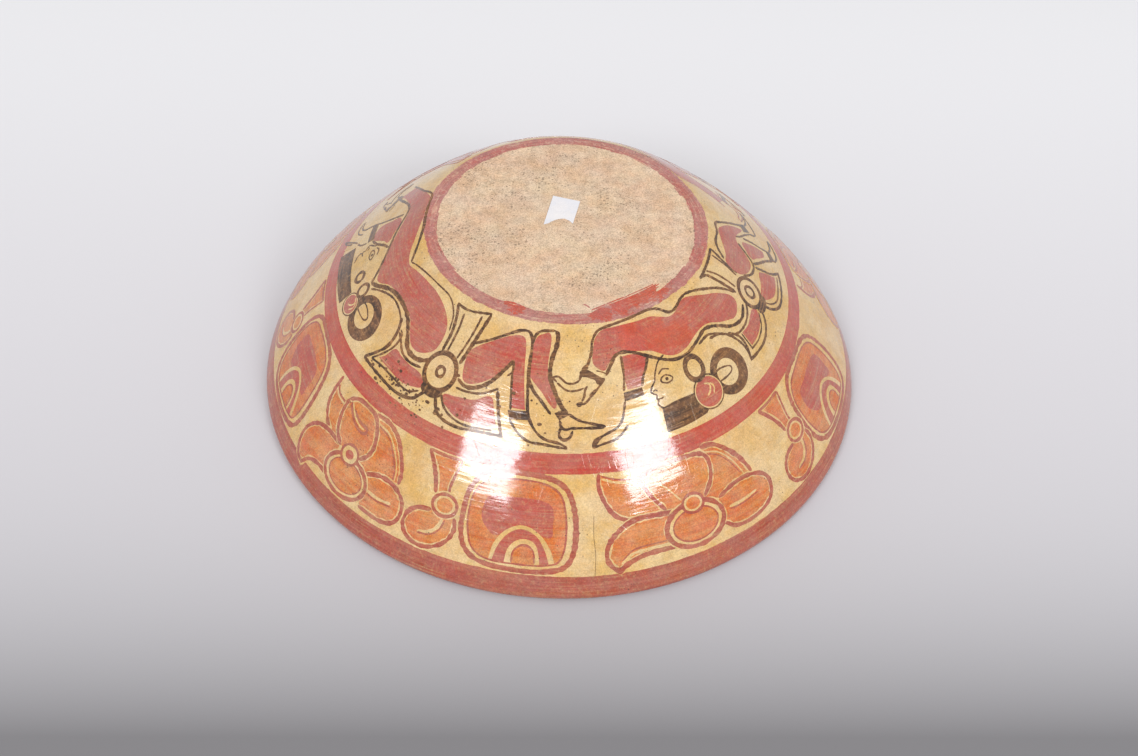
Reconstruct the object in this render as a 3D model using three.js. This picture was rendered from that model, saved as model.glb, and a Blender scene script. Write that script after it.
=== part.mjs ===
// A wide, shallow painted bowl of fired clay, built by hand from a flat base disc and rings of coiled clay.
// It lies as it is stored: turned over, with its mouth down on the table and its base on top.
// Sizes are in millimetres, +Z is up, and the origin is the centre of the mouth, on the table.

import * as THREE from "three";

// The bowl's outside, from the base's edge to the lip
const rimRadius = 95;
const bowlHeight = 55.5;
const baseRadius = 41.7;
const baseTurn = 4.2; // how far the wall runs on level with the base before it falls away
const lipSlope = THREE.MathUtils.degToRad(64); // the wall's slope where it reaches the lip
const lipRun = 21.6; // how long the wall holds that slope, as the outline's handle

// Clay thickness
const baseThickness = 6.5;
const wallThickness = 5.5;
const lipThickness = 4.4;

// The lip is a half round, and resting on it has worn a narrow flat
const lipSeat = 2.0; // height of the half round's centre above the table

// The pieces that the potter joined. Distances run along the outer wall from the base's edge.
const footWidth = 3.0; // the ring that shows round the base disc
const footSpread = 1.0; // how far the foot coil laps under the wall, on the inside
const waistStart = 36.2; // the coil under the painted line between the two registers
const waistWidth = 5.6;
const rimStart = 70.1; // the coil under the painted rim band
const upperCourses = 3; // wall coils between the foot and the waist
const lowerCourses = 3; // wall coils between the waist and the rim
const lap = 3.0; // each seam slants, and its inner end lies this much nearer the base
const seam = 0.3; // the film of wet clay that bonds two coils

// Facets
const turns = 72;
const curveStep = 4.0; // longest facet along the wall
const lipSteps = 4;

const buffClay = new THREE.MeshStandardMaterial({ color: 0xc9a67c, roughness: 0.9, metalness: 0 });
const creamSlip = new THREE.MeshStandardMaterial({ color: 0xe0bd80, roughness: 0.35, metalness: 0 });
const redSlip = new THREE.MeshStandardMaterial({ color: 0xb4524a, roughness: 0.35, metalness: 0 });

const point = (radius, height) => new THREE.Vector2(radius, height);

// The lip's half round: its centre, and the direction that the wall's outer face looks there
const lipRadius = lipThickness / 2;
const lipCentre = point(rimRadius - lipRadius, lipSeat);
const lipNormal = point(Math.sin(lipSlope), Math.cos(lipSlope));

function outerOutline() {
  const corner = point(baseRadius, bowlHeight);
  const turn = point(baseRadius + baseTurn, bowlHeight);
  const lip = lipCentre.clone().addScaledVector(lipNormal, lipRadius);
  const handle = point(lip.x - lipRun * Math.cos(lipSlope), lip.y + lipRun * Math.sin(lipSlope));
  return new THREE.CubicBezierCurve(corner, turn, handle, lip);
}

// The inside follows the outside at the wall's thickness, with its corner mitred under the base's edge
function innerOutline(outer) {
  const fall = outer.v2.clone().sub(outer.v1).normalize();
  const inward = point(fall.y, -fall.x);
  const mitre = baseThickness * Math.tan(Math.atan2(-fall.y, fall.x) / 2);
  const floor = bowlHeight - baseThickness;
  const corner = point(baseRadius - mitre, floor);
  const turn = point(corner.x + baseTurn, floor);
  const handle = outer.v2.clone().addScaledVector(inward, wallThickness);
  const lip = lipCentre.clone().addScaledVector(lipNormal, -lipRadius);
  return new THREE.CubicBezierCurve(corner, turn, handle, lip);
}

const outer = outerOutline();
const inner = innerOutline(outer);
const outerLength = outer.getLength();
const innerLength = inner.getLength();

// A face of the bowl at a distance along it. Before the base's edge, the face is the flat base.
function faceAt(curve, length, distance) {
  if (distance <= 0) return point(curve.v0.x + distance, curve.v0.y);
  return curve.getPointAt(Math.min(distance / length, 1));
}
const outside = (distance) => faceAt(outer, outerLength, distance);
const inside = (distance) => faceAt(inner, innerLength, (distance * innerLength) / outerLength);

// Points along a face from one distance to another, no further apart than curveStep
function along(face, from, to) {
  const count = Math.max(1, Math.ceil(Math.abs(to - from) / curveStep));
  return Array.from({ length: count + 1 }, (_, i) => face(from + ((to - from) * i) / count));
}

// An arc of the lip's half round, between two angles above the horizontal
function lipArc(from, to) {
  return Array.from({ length: lipSteps + 1 }, (_, i) => {
    const angle = from + ((to - from) * i) / lipSteps;
    return point(lipCentre.x + lipRadius * Math.cos(angle), lipCentre.y + lipRadius * Math.sin(angle));
  });
}

// Revolves a section that closes on itself, or that starts and ends on the axis
function revolved(name, section, material) {
  const geometry = new THREE.LatheGeometry(section, turns).rotateX(Math.PI / 2);
  const mesh = new THREE.Mesh(geometry, material);
  mesh.name = name;
  return mesh;
}

// Where two pieces meet: the seam's outer and inner ends, and half the film of clay to each side
const halfSeam = seam / 2;
const slantedSeam = (distance) => ({ outer: distance, inner: distance - lap });
const baseSeam = slantedSeam(-footWidth);
const footSeam = { outer: 0, inner: footSpread };
const waistTop = slantedSeam(waistStart);
const waistFoot = slantedSeam(waistStart + waistWidth);
const rimSeam = slantedSeam(rimStart);

// The flat pat of clay that the bowl was started on. Its bare face is the base.
function baseDisc() {
  const top = outside(baseSeam.outer - halfSeam);
  const under = inside(baseSeam.inner - halfSeam);
  const section = [point(0, under.y), under, top, point(0, top.y)];
  return revolved("base_disc", section, buffClay);
}

// A ring of clay between two seams
function coil(name, first, last, material) {
  const face = along(outside, first.outer + halfSeam, last.outer - halfSeam);
  const back = along(inside, last.inner - halfSeam, first.inner + halfSeam);
  const section = [...face, ...back].reverse();
  return revolved(name, [...section, section[0].clone()], material);
}

// The last coil, pinched to a half round and worn flat where the bowl rests on it
function rimCoil(first) {
  const worn = Math.asin(lipSeat / lipRadius);
  const upright = Math.PI / 2 - lipSlope;
  const face = along(outside, first.outer + halfSeam, outerLength).slice(0, -1);
  const back = along(inside, outerLength, first.inner + halfSeam).slice(1);
  const lip = [...lipArc(upright, -worn), ...lipArc(worn - Math.PI, upright - Math.PI)];
  const section = [...face, ...lip, ...back].reverse();
  return revolved("rim_coil", [...section, section[0].clone()], redSlip);
}

// Equal courses of wall coils between two seams
function wallCoils(firstNumber, count, from, to) {
  const height = (to.outer - from.outer) / count;
  const seams = Array.from({ length: count + 1 }, (_, i) => slantedSeam(from.outer + i * height));
  seams[0] = from;
  seams[count] = to;
  return Array.from({ length: count }, (_, i) =>
    coil("wall_coil_" + (firstNumber + i), seams[i], seams[i + 1], creamSlip),
  );
}

const bowl = new THREE.Group();
bowl.add(baseDisc());
bowl.add(coil("foot_coil", baseSeam, footSeam, redSlip));
bowl.add(...wallCoils(1, upperCourses, footSeam, waistTop));
bowl.add(coil("waist_coil", waistTop, waistFoot, redSlip));
bowl.add(...wallCoils(upperCourses + 1, lowerCourses, waistFoot, rimSeam));
bowl.add(rimCoil(rimSeam));

export default bowl;
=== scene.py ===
"""The looks of a hand-built painted bowl that lies mouth down: clay, slips, painted figures and ornaments.

The clay pieces follow the CAD model's section. The painting is drawn on a flat sheet, in degrees round the
bowl and millimetres down its wall, cut along the wall's own facets and laid over it as thin coats of slip.
"""

import logging
import math
import random
from dataclasses import dataclass, replace
from enum import Enum
from typing import Sequence

import bmesh
import bpy
import numpy as np
from mathutils import Matrix, Vector, noise
from mathutils.geometry import interpolate_bezier


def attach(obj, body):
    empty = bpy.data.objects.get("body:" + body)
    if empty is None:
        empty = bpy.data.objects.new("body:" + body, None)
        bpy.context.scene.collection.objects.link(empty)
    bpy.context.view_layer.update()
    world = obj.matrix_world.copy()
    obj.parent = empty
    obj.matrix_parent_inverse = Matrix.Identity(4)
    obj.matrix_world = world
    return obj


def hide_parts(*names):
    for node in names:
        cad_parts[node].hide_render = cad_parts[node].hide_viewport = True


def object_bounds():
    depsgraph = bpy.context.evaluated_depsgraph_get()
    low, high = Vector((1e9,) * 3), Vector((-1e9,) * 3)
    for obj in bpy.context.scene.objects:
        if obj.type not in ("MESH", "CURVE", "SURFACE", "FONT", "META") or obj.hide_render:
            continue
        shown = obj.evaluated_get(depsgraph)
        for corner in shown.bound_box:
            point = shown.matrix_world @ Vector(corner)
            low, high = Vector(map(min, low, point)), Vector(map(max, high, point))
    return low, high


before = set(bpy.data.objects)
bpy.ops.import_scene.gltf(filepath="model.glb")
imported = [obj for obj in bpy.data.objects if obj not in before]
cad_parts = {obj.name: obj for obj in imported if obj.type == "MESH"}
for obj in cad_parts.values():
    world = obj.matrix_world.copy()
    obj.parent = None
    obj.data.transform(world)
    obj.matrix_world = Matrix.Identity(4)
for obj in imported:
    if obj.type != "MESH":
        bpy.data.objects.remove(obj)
CAD_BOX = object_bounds()
BODY = "root"
MM = 0.001

log = logging.getLogger("painted_bowl")


class Paint(Enum):
    """The painter's slips, then the foot band's red, worn and greyed by a painted sheen, and the waist band's
    deeper red.
    """

    CREAM = "cream"
    ORANGE = "orange"
    RED = "red"
    RED_BROWN = "red_brown"
    DARK = "dark"
    WORN_AND_SHEEN_RED = "worn_and_sheen_red"
    BAND_RED = "band_red"


# The form of the clay


class WallFace:
    """One face of the wall in section, looked up by the distance along it from the base's edge."""

    SAMPLES = 801
    NORMAL_STEP = 0.1 * MM

    def __init__(self, corner: Vector, turn: Vector, handle: Vector, lip: Vector) -> None:
        """Draws the face as one Bezier curve.

        Args:
            corner: where the flat base ends, as (radius, height).
            turn: how far the wall runs on level with the base.
            handle: the curve's handle above the lip.
            lip: where the face meets the lip's half round.
        """
        t = np.linspace(0.0, 1.0, self.SAMPLES)[:, None]
        weights = ((1 - t) ** 3, 3 * (1 - t) ** 2 * t, 3 * (1 - t) * t**2, t**3)
        ends = (corner, turn, handle, lip)
        self.points = sum(weight * np.array(end) for weight, end in zip(weights, ends))
        steps = np.diff(self.points, axis=0)
        lengths = np.hypot(steps[:, 0], steps[:, 1])
        self.runs = np.concatenate([[0.0], np.cumsum(lengths)])
        self.length = float(self.runs[-1])

    def at(self, run: np.ndarray) -> tuple[np.ndarray, np.ndarray]:
        """Finds the face's points at some distances along it.

        Args:
            run: distances from the base's edge, negative on the flat base.

        Returns:
            The radius and the height at each distance.
        """
        radius = np.interp(run, self.runs, self.points[:, 0]) + np.minimum(run, 0.0)
        return radius, np.interp(run, self.runs, self.points[:, 1])

    def normal(self, run: np.ndarray) -> tuple[np.ndarray, np.ndarray]:
        """Finds the face's outward normals at some distances along it.

        Args:
            run: distances from the base's edge.

        Returns:
            The normals' radial and upward parts.
        """
        before = self.at(run - self.NORMAL_STEP)
        after = self.at(np.minimum(run + self.NORMAL_STEP, self.length))
        across, down = after[0] - before[0], after[1] - before[1]
        size = np.hypot(across, down)
        return -down / size, across / size


@dataclass(frozen=True)
class BowlForm:
    """The clay body's driving sizes, in metres, as the CAD model has them."""

    rim_radius: float = CAD_BOX[1].x
    height: float = CAD_BOX[1].z
    base_radius: float = 0.0417
    base_turn: float = 0.0042
    lip_slope: float = math.radians(64.0)
    lip_run: float = 0.0216
    base_thickness: float = 0.0065
    wall_thickness: float = 0.0055
    lip_thickness: float = 0.0044
    lip_seat: float = 0.0020
    foot_width: float = 0.0030
    foot_spread: float = 0.0010
    waist_start: float = 0.0362
    waist_width: float = 0.0056
    rim_start: float = 0.0701
    upper_courses: int = 3
    lower_courses: int = 3
    lap: float = 0.0030

    @property
    def lip_radius(self) -> float:
        """The radius of the lip's half round."""
        return self.lip_thickness / 2

    @property
    def lip_centre(self) -> Vector:
        """The centre of the lip's half round, as (radius, height)."""
        return Vector((self.rim_radius - self.lip_radius, self.lip_seat))

    @property
    def worn_angle(self) -> float:
        """The angle below the horizontal at which the half round ends in its worn flat."""
        return math.asin(self.lip_seat / self.lip_radius)

    @property
    def lip_normal(self) -> Vector:
        """The outside's normal where it meets the lip."""
        return Vector((math.sin(self.lip_slope), math.cos(self.lip_slope)))

    @property
    def outer_lip(self) -> Vector:
        """Where the outside meets the lip, as (radius, height)."""
        return self.lip_centre + self.lip_normal * self.lip_radius

    @property
    def outer_handle(self) -> Vector:
        """The handle that gives the outside its slope above the lip."""
        fall = Vector((-math.cos(self.lip_slope), math.sin(self.lip_slope)))
        return self.outer_lip + fall * self.lip_run

    @property
    def run_on(self) -> Vector:
        """How far both faces run on level with the base."""
        return Vector((self.base_turn, 0))

    def outer(self) -> WallFace:
        """The outside of the wall."""
        corner = Vector((self.base_radius, self.height))
        return WallFace(corner, corner + self.run_on, self.outer_handle, self.outer_lip)

    def inner(self) -> WallFace:
        """Works out the inside of the wall, with its corner mitred under the base's edge.

        Returns:
            The inside's face.
        """
        turn = Vector((self.base_radius + self.base_turn, self.height))
        along = (self.outer_handle - turn).normalized()
        inward = Vector((along.y, -along.x))
        mitre = self.base_thickness * math.tan(math.atan2(-along.y, along.x) / 2)
        corner = Vector((self.base_radius - mitre, self.height - self.base_thickness))
        handle = self.outer_handle + inward * self.wall_thickness
        inner_lip = self.lip_centre - self.lip_normal * self.lip_radius
        return WallFace(corner, corner + self.run_on, handle, inner_lip)


@dataclass(frozen=True)
class PottersHand:
    """What the hand left in the form: a slight lean, a tilted base and a soft unevenness of the wall.

    A ripple has its share of the swell, its waves round the bowl, where it starts and its slant down the wall.
    """

    height: float
    lean: tuple[float, float] = (0.00054, 0.00147)
    tilt: tuple[float, float] = (-0.0117, 0.0048)
    swell: float = 0.00010
    ripples: tuple[tuple[float, ...], ...] = ((1.0, 3, 1.0, 60), (0.8, 5, 2.2, -110), (0.6, 9, 0.7, 190))
    wall_edge: float = 0.032
    wall_blend: float = 0.012
    lip_blend: float = 0.004
    base_swell: float = 0.00008
    base_waves: tuple[float, float] = (120.0, 95.0)
    base_reach: float = 0.045
    base_share: float = 0.7

    STEP = 0.05 * MM
    NEARLY_UPRIGHT = 0.9

    def shape(self, points: np.ndarray) -> np.ndarray:
        """Moves points of the ideal form to where the potter left them.

        Args:
            points: places in the ideal form, one to a row.

        Returns:
            The same places in the real form.
        """
        x, y, z = points.T
        share = z / self.height
        radius = np.maximum(np.hypot(x, y), 1e-6)
        angle = np.arctan2(y, x)
        waves = sum(size * np.sin(count * angle + start + slant * z)
                    for size, count, start, slant in self.ripples)
        on_wall = np.clip((radius - self.wall_edge) / self.wall_blend, 0.0, 1.0)
        on_wall *= np.clip(z / self.lip_blend, 0.0, 1.0)
        swell = self.swell * waves * on_wall
        on_base = (radius < self.base_reach) & (share > self.base_share)
        across, away = self.base_waves
        dimple = self.base_swell * np.sin(across * x + 1.0) * np.cos(away * y + 0.5) * on_base
        moved = points.copy()
        moved[:, 0] += self.lean[0] * share + swell * x / radius
        moved[:, 1] += self.lean[1] * share + swell * y / radius
        moved[:, 2] += (self.tilt[0] * x + self.tilt[1] * y) * share + dimple * (1 - on_wall)
        return moved

    def facing(self, points: np.ndarray, normals: np.ndarray) -> np.ndarray:
        """Turns normals of the ideal form into normals of the real one.

        Args:
            points: places in the ideal form, one to a row.
            normals: the ideal form's unit normals there.

        Returns:
            The real form's unit normals.
        """
        leaning = np.abs(normals[:, 2:3]) < self.NEARLY_UPRIGHT
        helper = np.where(leaning, [[0.0, 0.0, 1.0]], [[1.0, 0.0, 0.0]])
        first = np.cross(helper, normals)
        first /= np.linalg.norm(first, axis=1, keepdims=True)
        second = np.cross(normals, first)
        here = self.shape(points)
        sides = (self.shape(points + side * self.STEP) - here for side in (first, second))
        turned = np.cross(*sides)
        return turned / np.linalg.norm(turned, axis=1, keepdims=True)


class Surface:
    """The bowl's outside from the base over the lip, as a grid of facets that paint can follow."""

    COLUMNS = 288
    ROW_STEP = 1.25 * MM
    LIP_STEPS = 6
    BASE_SHARE = 0.3
    TOUCH = 1e-7

    def __init__(self, form: BowlForm, hand: PottersHand) -> None:
        """Works out the grid's rows.

        Args:
            form: the clay body's sizes.
            hand: the unevenness that every piece of the bowl shares.
        """
        self.form = form
        self.hand = hand
        self.outer = form.outer()
        self.inner = form.inner()
        self.seams = self._seams()
        self.rows = self._rows()
        self.radius, self.height, self.normal_r, self.normal_z = self._places(self.rows)

    @property
    def lip_end(self) -> float:
        """The distance at which the lip's half round meets its worn flat."""
        turn = math.pi / 2 - self.form.lip_slope + self.form.worn_angle
        return self.outer.length + self.form.lip_radius * turn

    def _seams(self) -> list[float]:
        """Finds where the pieces meet.

        Returns:
            The seams' distances, from the base disc's edge to the rim coil.
        """
        form = self.form
        waist_end = form.waist_start + form.waist_width
        upper = np.linspace(0.0, form.waist_start, form.upper_courses + 1)
        lower = np.linspace(waist_end, form.rim_start, form.lower_courses + 1)
        return [-form.foot_width, *upper.tolist(), *lower.tolist()]

    def _rows(self) -> np.ndarray:
        """Spreads the rows, with one on each seam and several on the lip.

        Returns:
            Every row's distance.
        """
        marks = [-self.form.base_radius * self.BASE_SHARE, *self.seams, self.outer.length]
        rows: list[float] = []
        for start, end in zip(marks, marks[1:]):
            count = max(1, math.ceil((end - start) / self.ROW_STEP))
            rows.extend(np.linspace(start, end, count + 1)[:-1])
        rows.extend(np.linspace(self.outer.length, self.lip_end, self.LIP_STEPS + 1))
        return np.array(rows)

    def _places(self, runs: np.ndarray) -> tuple[np.ndarray, ...]:
        """Finds places on the outside.

        Args:
            runs: their distances, which may run on round the lip.

        Returns:
            Their radius and height, and the radial and upward parts of the normal there.
        """
        on_wall = np.minimum(runs, self.outer.length)
        radius, height = self.outer.at(on_wall)
        normal_r, normal_z = self.outer.normal(on_wall)
        past = np.maximum(runs - self.outer.length, 0.0) / self.form.lip_radius
        angle = math.pi / 2 - self.form.lip_slope - past
        centre, size = self.form.lip_centre, self.form.lip_radius
        on_lip = past > 0
        radius = np.where(on_lip, centre.x + size * np.cos(angle), radius)
        height = np.where(on_lip, centre.y + size * np.sin(angle), height)
        normal_r = np.where(on_lip, np.cos(angle), normal_r)
        normal_z = np.where(on_lip, np.sin(angle), normal_z)
        return radius, height, normal_r, normal_z

    def section(self, start: float, end: float) -> np.ndarray:
        """The grid's rows between two distances, as (radius, height, radial normal, upward normal)."""
        chosen = (self.rows > start - self.TOUCH) & (self.rows < end + self.TOUCH)
        return np.stack([self.radius, self.height, self.normal_r, self.normal_z], 1)[chosen]

    def lay(self, degrees: np.ndarray, run: np.ndarray, lift: np.ndarray) -> tuple[np.ndarray, np.ndarray]:
        """Lays flat points on the wall's facets.

        Args:
            degrees: angles round the bowl, from +X towards +Y.
            run: distances down the wall.
            lift: heights above the facet.

        Returns:
            The points and the outward normals there, both in the real form.
        """
        pitch = 360.0 / self.COLUMNS
        column = np.floor(degrees / pitch)
        share = (degrees / pitch - column)[:, None]
        grid = (self.radius, self.height, self.normal_r, self.normal_z)
        radius, height, normal_r, normal_z = (np.interp(run, self.rows, values) for values in grid)
        first, last = np.radians(column * pitch), np.radians((column + 1) * pitch)
        spoke = np.stack([np.cos(first), np.sin(first)], 1) * (1 - share)
        spoke += np.stack([np.cos(last), np.sin(last)], 1) * share
        normals = np.concatenate([spoke * normal_r[:, None], normal_z[:, None]], 1)
        points = np.concatenate([spoke * radius[:, None], height[:, None]], 1)
        normals /= np.linalg.norm(normals, axis=1, keepdims=True)
        facing = self.hand.facing(points, normals)
        return self.hand.shape(points) + facing * lift[:, None], facing

    def degree_length(self, run: np.ndarray) -> np.ndarray:
        """How long one degree round the bowl is at some distances down the wall, in metres."""
        return math.radians(1.0) * np.interp(run, self.rows, self.radius)


# Finishes


def srgb(red: int, green: int, blue: int) -> tuple[float, float, float]:
    """Turns a screen colour, from 0 to 255, into linear light."""
    shares = (value / 255.0 for value in (red, green, blue))
    return tuple(s / 12.92 if s <= 0.04045 else ((s + 0.055) / 1.055) ** 2.4 for s in shares)


GROUND_COLOUR = srgb(188, 154, 104)
PIT_COLOUR = srgb(58, 40, 32)
FRESH_COLOUR = srgb(178, 68, 40)


@dataclass(frozen=True)
class Finish:
    """A slip's or the clay's finish: its colours, how it is brushed and rubbed, and how it is polished."""

    name: str
    colour: tuple[float, float, float]
    shade: tuple[float, float, float]
    ground: tuple[float, float, float] = GROUND_COLOUR
    wear: float = 0.3
    streak: float = 0.5
    grain: float = 0.5
    roughness: float = 0.085
    pits: float = 0.5
    scratches: float = 0.15
    bump: float = 0.9
    gloss: float = 1.72
    fresh: float = 0.0


FINISHES = {
    Paint.CREAM: Finish("cream_slip", srgb(203, 161, 93), srgb(210, 178, 127), srgb(172, 126, 76),
                        wear=0.35, streak=0.12, grain=0.6),
    Paint.ORANGE: Finish("orange_slip", srgb(190, 90, 28), srgb(196, 124, 66), wear=0.45, grain=0.85),
    Paint.RED: Finish("red_slip", srgb(170, 63, 45), srgb(168, 90, 75), wear=0.55, grain=0.6, fresh=0.9),
    Paint.RED_BROWN: Finish("red_brown_slip", srgb(154, 64, 44), srgb(166, 88, 66),
                            wear=0.5, streak=0.9, grain=0.7),
    Paint.DARK: Finish("dark_slip", srgb(58, 36, 22), srgb(110, 72, 44), srgb(180, 130, 80),
                       wear=0.85, grain=0.9, gloss=1.5),
    # The foot band's red is worn through to the clay in places, and its paler, greyer tone is a painted sheen
    # of the room's light.
    Paint.WORN_AND_SHEEN_RED: Finish("worn_and_sheen_red_slip", srgb(167, 85, 73), srgb(172, 110, 100), srgb(206, 168, 140),
                           wear=0.9, grain=0.8, roughness=0.26, fresh=1.0),
    Paint.BAND_RED: Finish("band_red_slip", srgb(172, 54, 38), srgb(172, 80, 62),
                           wear=0.4, streak=0.7, grain=0.6, fresh=0.9),
}
INSIDE = Finish("inner_slip", srgb(176, 128, 78), srgb(186, 148, 102), srgb(150, 106, 70),
                streak=0.2, grain=0.7)
BARE_CLAY = Finish("bare_clay", srgb(203, 170, 140), srgb(209, 183, 154), srgb(178, 134, 112),
                   wear=0.42, grain=0.95, roughness=0.85, pits=1.0, scratches=0.4, bump=0.7, gloss=1.45)
PAPER = Finish("label_paper", srgb(226, 222, 221), srgb(216, 216, 221), srgb(204, 192, 184),
               wear=0.3, grain=0.1, roughness=0.7, pits=0.0, scratches=0.0, bump=0.15, gloss=1.45)

# Where the red slip is still thick and bright: each patch's middle, its reach and its strength
FRESH_PATCHES = (
    ((0.0190, -0.0422, 0.0517), 0.0060, 1.0),
    ((0.0263, -0.0403, 0.0507), 0.0066, 1.0),
    ((0.0333, -0.0375, 0.0493), 0.0058, 1.0),
    ((0.0105, -0.0360, 0.0552), 0.0042, 1.0),
    ((0.0165, -0.0328, 0.0552), 0.0044, 1.0),
    ((0.0222, -0.0297, 0.0551), 0.0046, 1.0),
    ((0.0262, -0.0262, 0.0551), 0.0046, 1.0),
    ((-0.0136, -0.0345, 0.0555), 0.0030, 1.0),
    ((-0.0637, -0.0297, 0.0325), 0.0045, 0.6),
    ((0.0433, -0.0568, 0.0307), 0.0095, 0.45),
    ((0.0518, -0.0493, 0.0308), 0.0095, 0.45),
    ((0.0608, -0.0385, 0.0306), 0.0090, 0.45),
)


class NodeSheet:
    """A short way to add and join shader nodes in one tree."""

    WALL_RADIUS = 0.07

    def __init__(self, tree: bpy.types.NodeTree) -> None:
        """Works on one tree."""
        self.tree = tree

    def _feed(self, socket: bpy.types.NodeSocket, value: object) -> None:
        """Joins a socket to another node's output, or sets its value.

        Args:
            socket: the socket to feed.
            value: the output, or the value; a colour is a tuple without its alpha.
        """
        if isinstance(value, bpy.types.NodeSocket):
            self.tree.links.new(value, socket)
        elif isinstance(value, tuple) and socket.type == "RGBA":
            socket.default_value = (*value, 1.0)
        else:
            socket.default_value = value

    def add(self, kind: str, inputs: dict[int | str, object], **settings: object) -> bpy.types.Node:
        """Adds a node.

        Args:
            kind: the node's type name.
            inputs: values or other nodes' outputs, by the input's name or number.
            settings: the node's own settings, such as its operation.

        Returns:
            The node.
        """
        node = self.tree.nodes.new(kind)
        for key, value in settings.items():
            setattr(node, key, value)
        for key, value in inputs.items():
            self._feed(node.inputs[key], value)
        return node

    def math(self, operation: str, first: object, second: object) -> bpy.types.NodeSocket:
        """Works out one value from two."""
        return self.add("ShaderNodeMath", {0: first, 1: second}, operation=operation).outputs[0]

    def vector(self, operation: str, first: object, second: object = (0.0, 0.0, 0.0)) -> bpy.types.Node:
        """Adds a node that works on one vector or two."""
        return self.add("ShaderNodeVectorMath", {0: first, 1: second}, operation=operation)

    def ramp(self, value: object, low: float, high: float, to_low: float = 0,
             to_high: float = 1) -> bpy.types.NodeSocket:
        """Maps a value smoothly from one range to another and holds it there."""
        inputs = {0: value, 1: low, 2: high, 3: to_low, 4: to_high}
        return self.add("ShaderNodeMapRange", inputs, interpolation_type="SMOOTHSTEP").outputs[0]

    def mix(self, share: object, first: object, second: object) -> bpy.types.NodeSocket:
        """Mixes two colours."""
        return self.add("ShaderNodeMix", {0: share, 6: first, 7: second}, data_type="RGBA").outputs[2]

    def noise(self, place: object, scale: float, detail: float = 3.0,
              roughness: float = 0.5) -> bpy.types.NodeSocket:
        """Adds cloudy noise."""
        inputs = {"Vector": place, "Scale": scale, "Detail": detail, "Roughness": roughness}
        return self.add("ShaderNodeTexNoise", inputs).outputs[0]

    def object_place(self) -> bpy.types.NodeSocket:
        """The place on the object, in metres."""
        return self.add("ShaderNodeTexCoord", {}).outputs["Object"]

    def wall_place(self) -> bpy.types.NodeSocket:
        """Finds the place on the wall.

        Returns:
            Its direction from the bowl's axis in X and Y, and its way down the wall in Z.
        """
        place = self.object_place()
        level = self.vector("MULTIPLY", place, (1.0, 1.0, 0.0)).outputs[0]
        radius = self.vector("LENGTH", level).outputs["Value"]
        spoke = self.vector("NORMALIZE", level).outputs[0]
        round_it = self.vector("MULTIPLY", spoke, (self.WALL_RADIUS, self.WALL_RADIUS, 0.0)).outputs[0]
        height = self.add("ShaderNodeSeparateXYZ", {0: place}).outputs["Z"]
        down = self.add("ShaderNodeCombineXYZ", {"Z": self.math("SUBTRACT", radius, height)}).outputs[0]
        return self.vector("ADD", round_it, down).outputs[0]

    def stretched(self, place: object, scale: tuple[float, float, float],
                  turn: float = 0.0) -> bpy.types.NodeSocket:
        """Turns a place about the bowl's axis and scales it by axis, for streaks."""
        turned = self.add("ShaderNodeMapping", {"Vector": place, "Rotation": (0.0, 0.0, turn)}).outputs[0]
        return self.add("ShaderNodeMapping", {"Vector": turned, "Scale": scale}).outputs[0]

    def use(self, group: bpy.types.NodeTree, inputs: dict[str, object]) -> bpy.types.Node:
        """Places a shared group.

        Args:
            group: the group.
            inputs: values or other nodes' outputs, by the input's name.

        Returns:
            The group's node.
        """
        node = self.tree.nodes.new("ShaderNodeGroup")
        node.node_tree = group
        for key, value in inputs.items():
            self._feed(node.inputs[key], value)
        return node


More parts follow.
